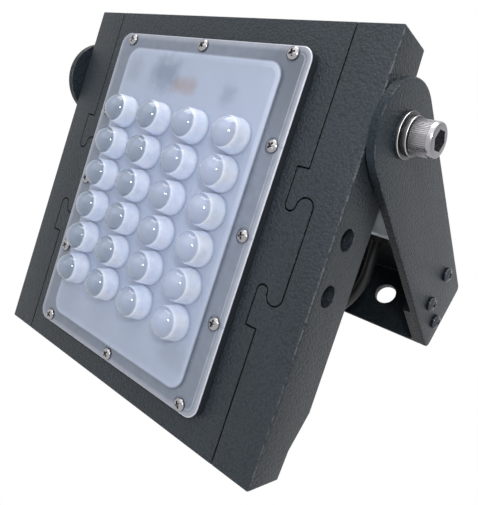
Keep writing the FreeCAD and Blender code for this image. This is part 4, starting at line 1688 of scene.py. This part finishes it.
class LensCover(SubAssembly):
    """Milky plate with its domes, seal and screws."""

    sizes = CoverSizes()
    screw = Screw(4.0 * MM, 12.0 * MM, 7.6 * MM, 2.6 * MM, cross=5.2 * MM, cross_depth=1.9 * MM)
    screw_seed = 7

    def screw_places(self) -> list[Point]:
        """Returns: the seats as (across, up, 0) in the plane of the face."""
        size = self.sizes
        places = [(side * size.screw_corner_x, level, 0.0) for side in (-1, 1)
                  for level in (size.screw_end_z, -size.screw_end_z)]
        places += [(side * size.screw_side_x, level, 0.0) for side in (-1, 1)
                   for level in (size.screw_mid_z, 0.0, -size.screw_mid_z)]
        return places + [(0.0, size.screw_end_z, 0.0), (0.0, -size.screw_end_z, 0.0)]

    def build(self) -> None:
        """Builds and dresses the plate, domes and screws."""
        size = self.sizes
        self.dress("lens_plate", self.rack.cover)
        self.dress("lens_plate_seal", self.rack.rubber)
        domes = DomeRecipe().run({
            "Material": self.rack.domes, "Columns": size.columns, "Rows": size.rows,
            "Width of field": (size.columns - 1) * size.pitch_x,
            "Length of field": (size.rows - 1) * size.pitch_z,
            "Base radius": size.dome_base + size.skin, "Top radius": size.dome_top + size.skin,
            "Height": size.dome_height + size.skin, "Segments": size.dome_segments,
            "Rings": size.dome_rings,
        })
        lift = Matrix.Translation((0.0, -(size.front + size.field_rise), -size.drop))
        domes.transform(HEAD.matrix() @ lift @ FACING_FRONT)
        MeshShop.piece("dome_lenses", domes, self.rack.domes, Body.HEAD, Slot.LENS_PLASTIC)
        screws = FastenerRecipe().spread(self.screw.mesh(), self.screw_places(),
                                         self.rack.stainless, self.screw_seed)
        seat = Matrix.Translation((0.0, -(size.front - size.seat_depth), 0.0))
        screws.transform(HEAD.matrix() @ seat @ FACING_FRONT)
        MeshShop.piece("cover_screws", screws, self.rack.stainless, Body.HEAD, Slot.STAINLESS,
                       ["lens_plate_screws"])


class HeadShell(SubAssembly):
    """Casting with its fins, the two side rails and their screws."""

    softness = 0.35 * MM

    def build(self) -> None:
        """Dresses the castings."""
        front = EdgeSoftener(self.softness, front_only=True)
        every = EdgeSoftener(self.softness)
        for node, name, softener in (("head_casting", "softened_casting", front),
                                     ("right_side_rail", "softened_right_rail", every),
                                     ("left_side_rail", "softened_left_rail", every)):
            self.soften(node, name, self.rack.coat, self.rack.seamed_edge,
                        Body.HEAD, Slot.CAST_COAT, softener)
        self.dress("rail_screws", self.rack.zinc)


class LightBoard(SubAssembly):
    """Board behind the plate, with its emitters and parts."""

    def build(self) -> None:
        """Dresses the board and what is on it."""
        self.dress("led_board", self.rack.mask)
        self.dress("infrared_emitters", self.rack.emitter)
        self.dress("board_parts", self.rack.chip)
        self.dress("board_screws", self.rack.stainless)


@dataclass(frozen=True)
class PivotSizes:
    """Sizes of the pivot hardware, as in the CAD model."""

    under_head: float = 138.7 * MM
    shank: float = 12.0 * MM
    length: float = 35.0 * MM
    head: float = 18.0 * MM
    head_height: float = 12.0 * MM
    plain_band: float = 3.0 * MM
    chamfer: float = 1.3 * MM
    socket: float = 10.0 * MM
    socket_depth: float = 6.0 * MM
    ridges: int = 56
    washer: tuple[float, float] = (24.0 * MM, 2.5 * MM)
    lock_washer: tuple[float, float] = (20.4 * MM, 3.2 * MM)
    washer_bore: float = 12.5 * MM
    washer_edge: float = 0.5 * MM
    slit: float = 1.6 * MM


class PivotSet(SubAssembly):
    """Bolts, washers and spacers that the head tilts on."""

    SMOOTH = 25.0
    SLIT_TURN = Matrix.Rotation(math.radians(-55), 4, "Z")

    sizes = PivotSizes()

    def bolt(self) -> bpy.types.Mesh:
        """Returns: one bolt, its head towards +Z and its seat at Z = 0."""
        size = self.sizes
        rim = size.head / 2
        band = size.head_height - size.plain_band
        profile = [(0.0, -size.length), (size.shank / 2 - 1.0 * MM, -size.length),
                   (size.shank / 2, 1.0 * MM - size.length), (size.shank / 2, 0.0),
                   (rim - 0.6 * MM, 0.0), (rim - 0.35 * MM, 0.3 * MM), (rim - 0.35 * MM, band),
                   (rim, band + 0.2 * MM), (rim, size.head_height - size.chamfer),
                   (rim - size.chamfer * 0.35, size.head_height - size.chamfer * 0.3),
                   (rim - size.chamfer, size.head_height), (0.0, size.head_height)]
        cutter = MeshShop.prism("socket_cutter", MeshShop.hexagon(size.socket),
                                size.head_height - size.socket_depth, size.head_height + 2 * MM)
        body = MeshShop.smooth(MeshShop.carve(MeshShop.lathe("bolt_body", profile, 64), cutter))
        ridge = MeshShop.prism("ridge", [(-0.5 * MM, -0.32 * MM), (0.0, -0.12 * MM),
                                         (0.0, 0.12 * MM), (-0.5 * MM, 0.32 * MM)],
                               0.3 * MM, band)
        knurl = RingRecipe().around(ridge, size.ridges, rim, self.rack.turned)
        return MeshShop.merged("pivot_bolt_pattern", [body, knurl])

    def washer(self, diameter: float, thickness: float, split: bool) -> bpy.types.Mesh:
        """Makes one washer on the plane Z = 0.

        Args:
            diameter: Its diameter.
            thickness: Its thickness.
            split: Whether it is cut through at one side, as a spring washer is.

        Returns:
            The washer, its outer edge rounded off.
        """
        size = self.sizes
        inner, outer, soft = size.washer_bore / 2, diameter / 2, size.washer_edge
        profile = [(inner, 0.0), (outer - soft, 0.0), (outer, soft), (outer, thickness - soft),
                   (outer - soft * 0.3, thickness - soft * 0.3), (outer - soft, thickness),
                   (inner, thickness), (inner, 0.0)]
        made = MeshShop.smooth(MeshShop.lathe("washer", profile, 72), self.SMOOTH)
        if not split:
            return made
        half = size.slit / 2
        cutter = MeshShop.prism("slit", [(-diameter, -half), (0.0, -half),
                                         (0.0, half), (-diameter, half)],
                                -thickness, thickness * 2)
        cutter.transform(self.SLIT_TURN)
        return MeshShop.smooth(MeshShop.carve(made, cutter), self.SMOOTH)

    def both_sides(self, patterns: Sequence[bpy.types.Mesh], start: float) -> bpy.types.Mesh:
        """Sets a mesh on both ends of the pivot line.

        Args:
            patterns: Meshes for the left and the right end, their outer sides towards +Z.
            start: Distance of their Z = 0 plane from the middle.

        Returns:
            One mesh of both.
        """
        placed = []
        for side, pattern in zip((-1, 1), patterns):
            shift = Vector(HEAD.pivot_in_wall) + Vector((side * start, 0.0, 0.0))
            pattern.transform(Matrix.Translation(shift) @ facing_side(side))
            placed.append(pattern)
        return MeshShop.merged("both_sides", placed)

    def build(self) -> None:
        """Builds the bolts and the washers."""
        size = self.sizes
        bolts = self.both_sides([self.bolt(), self.bolt()], size.under_head)
        MeshShop.piece("pivot_socket_bolts", bolts, self.rack.turned, Body.HEAD, Slot.STAINLESS,
                       ["pivot_bolts"])
        flat = self.both_sides([self.washer(*size.washer, False) for _ in range(2)], ARM_OUTER)
        MeshShop.piece("pivot_plain_washers", flat, self.rack.washers, Body.HEAD, Slot.STAINLESS,
                       ["pivot_flat_washers"])
        lock = self.both_sides([self.washer(*size.lock_washer, True) for _ in range(2)],
                               ARM_OUTER + size.washer[1])
        MeshShop.piece("pivot_lock_washers", lock, self.rack.washers, Body.HEAD, Slot.STAINLESS,
                       ["pivot_spring_washers"])
        self.dress("pivot_spacers", self.rack.nylon)


class Bracket(SubAssembly):
    """Base plate and arms with their screws."""

    softness = 0.4 * MM
    off_wall = -6.0 * MM
    screw = Screw(5.0 * MM, 12.0 * MM, 9.5 * MM, 3.7 * MM, cross=5.6 * MM, cross_depth=2.2 * MM)
    screw_places = ((-34.0 * MM, 17.0 * MM), (-34.0 * MM, -6.0 * MM), (-13.0 * MM, -9.0 * MM))
    screw_seed = 3

    def shade_cut_edges(self, plate: bpy.types.Mesh) -> None:
        """Gives a plate's narrow faces, away from the wall, a darker copy of the coat: painted
        shade.

        Args:
            plate: Mesh of the plate, its faces in index 0 and its softened edges in index 1.
        """
        plate.materials.append(self.rack.shaded_cut_coat)
        for face in plate.polygons:
            narrow = abs(face.normal.x) < 0.5 and face.center.y < self.off_wall
            if narrow and face.material_index == 0:
                face.material_index = 2

    def build(self) -> None:
        """Dresses the plates and builds the screws."""
        softener = EdgeSoftener(self.softness)
        for node, name, coat in (("base_plate", "softened_base", self.rack.shaded_base_coat),
                                 ("right_arm", "softened_right_arm", self.rack.bracket_coat),
                                 ("left_arm", "softened_left_arm", self.rack.bracket_coat)):
            plate = self.soften(node, name, coat, self.rack.edge,
                                Body.BRACKET, Slot.BRACKET_COAT, softener)
            self.shade_cut_edges(plate.data)
        recipe = FastenerRecipe()
        pattern = self.screw.mesh()
        sides = []
        for side in (-1, 1):
            outward = facing_side(side)
            flat = [outward.inverted() @ Vector((0.0, back, up)) for back, up in self.screw_places]
            screws = recipe.spread(pattern.copy(), [tuple(place) for place in flat],
                                   self.rack.zinc, self.screw_seed + side)
            screws.transform(Matrix.Translation((side * ARM_OUTER, 0.0, 0.0)) @ outward)
            sides.append(screws)
        MeshShop.piece("bracket_screws", MeshShop.merged("bracket_screws", sides), self.rack.zinc,
                       Body.BRACKET, Slot.ZINC, ["arm_screws"])


class DriverBox(SubAssembly):
    """Driver housing behind the fins."""

    def build(self) -> None:
        """Dresses the housing, lid and what is in them."""
        for node in ("driver_housing", "driver_lid"):
            self.dress(node, self.rack.coat)
        self.dress("driver_lid_seal", self.rack.rubber)
        for node in ("driver_lid_screws", "housing_screws"):
            self.dress(node, self.rack.stainless)
        self.dress("driver_unit", self.rack.chip)


@dataclass(frozen=True)
class LeadSizes:
    """Lead as in the CAD model, its points in the upright head's frame in millimetres."""

    diameter: float = 7.0 * MM
    points: tuple[Point, ...] = (
        (95.0, 103.0, 34.0), (95.0, 103.0, 11.0), (95.0, 104.5, -9.0), (86.0, 104.5, -28.0),
        (71.0, 100.5, -44.0), (55.0, 94.0, -59.0), (43.0, 85.0, -75.0),
    )
    length: float = 0.130


class CableEntry(SubAssembly):
    """Gland, lead and the connector on its end."""

    sizes = LeadSizes()

    def lead(self) -> bpy.types.Object:
        """Returns: the lead as one smooth curve."""
        places = [HEAD.matrix() @ (Vector(point) * MM) for point in self.sizes.points]
        curve = bpy.data.curves.new("supply_cable", "CURVE")
        curve.dimensions = "3D"
        line = curve.splines.new("NURBS")
        line.points.add(len(places) - 1)
        for point, place in zip(line.points, places):
            point.co = (*place, 1.0)
        line.order_u = 3
        line.use_endpoint_u = True
        line.resolution_u = 12
        curve.bevel_depth = self.sizes.diameter / 2
        curve.bevel_resolution = 6
        curve.use_fill_caps = True
        curve.materials.append(self.rack.jacket)
        made = bpy.data.objects.new("supply_cable", curve)
        bpy.context.scene.collection.objects.link(made)
        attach(made, Body.HEAD.value)
        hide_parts("supply_lead")
        return made

    def build(self) -> None:
        """Builds the lead and dresses the gland."""
        self.lead()
        for node in ("gland_body", "gland_nut"):
            self.dress(node, self.rack.nickel)
        self.dress("gland_seal", self.rack.rubber)
        self.dress("lead_connector", self.rack.nylon)


@dataclass(frozen=True)
class Studio:
    """Camera, lamps, world and floor.

    Attributes:
        eye: Place of the camera.
        right: Direction of the picture's right side.
        down: Direction of the picture's lower side.
        lens: Focal length in millimetres on a 36 mm sensor.
        shift: Shift of the picture, as shares of its long side.
        middle: Point that the soft lamps look at.
        floor_height: Height of the floor.
        floor_reach: Distance from the floor's middle to its sides.
    """

    eye: Point = (0.266484, -0.375864, -0.133021)
    right: Point = (0.721149, 0.440175, 0.534967)
    down: Point = (0.285047, 0.515282, -0.808228)
    lens: float = 40.47
    shift: tuple[float, float] = (-0.00343, -0.00776)
    middle: Point = (0.0, -0.1, -0.04)
    floor_height: float = -0.30
    floor_reach: float = 6.0

    def camera(self) -> bpy.types.Object:
        """Returns: the camera at the photograph's viewing angle."""
        data = bpy.data.cameras.new("view")
        data.sensor_width = 36.0
        data.lens = self.lens
        data.shift_x, data.shift_y = self.shift
        data.clip_start, data.clip_end = 0.01, 20.0
        made = bpy.data.objects.new("view", data)
        right, up = Vector(self.right), -Vector(self.down)
        turn = Matrix((right, up, right.cross(up))).transposed().to_4x4()
        made.matrix_world = Matrix.Translation(self.eye) @ turn
        bpy.context.scene.collection.objects.link(made)
        bpy.context.scene.camera = made
        return made

    @staticmethod
    def hang(data: bpy.types.Light, watts: float, place: Point, aim: Point) -> bpy.types.Object:
        """Hangs a lamp and turns it.

        Args:
            data: The lamp.
            watts: Its power.
            place: Where it hangs.
            aim: Point that it looks at.

        Returns:
            The lamp's object.
        """
        data.energy = watts
        made = bpy.data.objects.new(data.name, data)
        made.location = place
        made.rotation_mode = "QUATERNION"
        made.rotation_quaternion = (Vector(aim) - Vector(place)).to_track_quat("-Z", "Y")
        bpy.context.scene.collection.objects.link(made)
        return made

    def lamp(self, name: str, place: Point, size: float, watts: float) -> bpy.types.Object:
        """Adds a soft square lamp that looks at the head.

        Args:
            name: Name of the lamp.
            place: Where it hangs.
            size: Its side.
            watts: Its power.

        Returns:
            The lamp.
        """
        data = bpy.data.lights.new(name, "AREA")
        data.shape = "SQUARE"
        data.size = size
        return self.hang(data, watts, place, self.middle)

    def snoot(self, name: str, place: Point, aim: Point, degrees: float,
              watts: float) -> bpy.types.Object:
        """Adds a narrow lamp that lights one spot.

        Args:
            name: Name of the lamp.
            place: Where it hangs.
            aim: Point that it lights.
            degrees: Width of its cone.
            watts: Its power.

        Returns:
            The lamp.
        """
        data = bpy.data.lights.new(name, "SPOT")
        data.spot_size = math.radians(degrees)
        data.spot_blend = 0.5
        data.shadow_soft_size = 0.01
        return self.hang(data, watts, place, aim)

    def world(self, strength: float) -> None:
        """Lights all round, and shows white to the camera and to gloss.

        Args:
            strength: Strength of the light on the object.
        """
        world = bpy.data.worlds.new("white_room")
        world.use_nodes = True
        bpy.context.scene.world = world
        graph = Graph(world.node_tree)
        light, white = (graph.node("ShaderNodeBackground", None,
                                   {"Color": WHITE, "Strength": power}).outputs[0]
                        for power in (strength, 1.0))
        mixed = graph.node("ShaderNodeMixShader", None, {0: graph.seen(), 1: light, 2: white})
        graph.node("ShaderNodeOutputWorld", None, {"Surface": mixed.outputs[0]})

    def build(self, rack: FinishRack) -> None:
        """Sets up the studio.

        Args:
            rack: The finishes.
        """
        bpy.context.scene.view_settings.view_transform = "Standard"
        self.camera()
        self.world(0.14)
        self.lamp("overhead", (-0.10, -0.75, 1.00), 0.90, 9.0)
        self.lamp("front", (0.05, -1.40, 0.10), 1.50, 7.0)
        self.lamp("right", (0.90, 0.90, 0.50), 0.90, 0.7)
        self.lamp("spark", (0.30, -0.47, -0.06), 0.055, 0.60)
        self.snoot("gland", (0.3094, -0.4520, -0.1721), (0.095, -0.072, 0.0235), 3.4, 1.0)
        floor = bpy.data.meshes.new("floor")
        corners = [(x * self.floor_reach, y * self.floor_reach, self.floor_height)
                   for x, y in ((-1, -1), (1, -1), (1, 1), (-1, 1))]
        floor.from_pydata(corners, [], [(0, 1, 2, 3)])
        floor.materials.append(rack.floor)
        MeshShop.new_object("floor", floor)


def main(frame: dict) -> None:
    """Builds the looks round the frame.
    """
    logging.basicConfig(level=logging.INFO, format="%(name)s: %(message)s")
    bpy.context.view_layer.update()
    rack = FinishRack()
    Studio().build(rack)
    for assembly in (CableEntry, HeadShell, LensCover, LightBoard, PivotSet, Bracket, DriverBox):
        assembly(frame, rack).build()
        LOG.info("built %s", assembly.__name__)


if __name__ == "__main__":
    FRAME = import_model()
    main(FRAME)
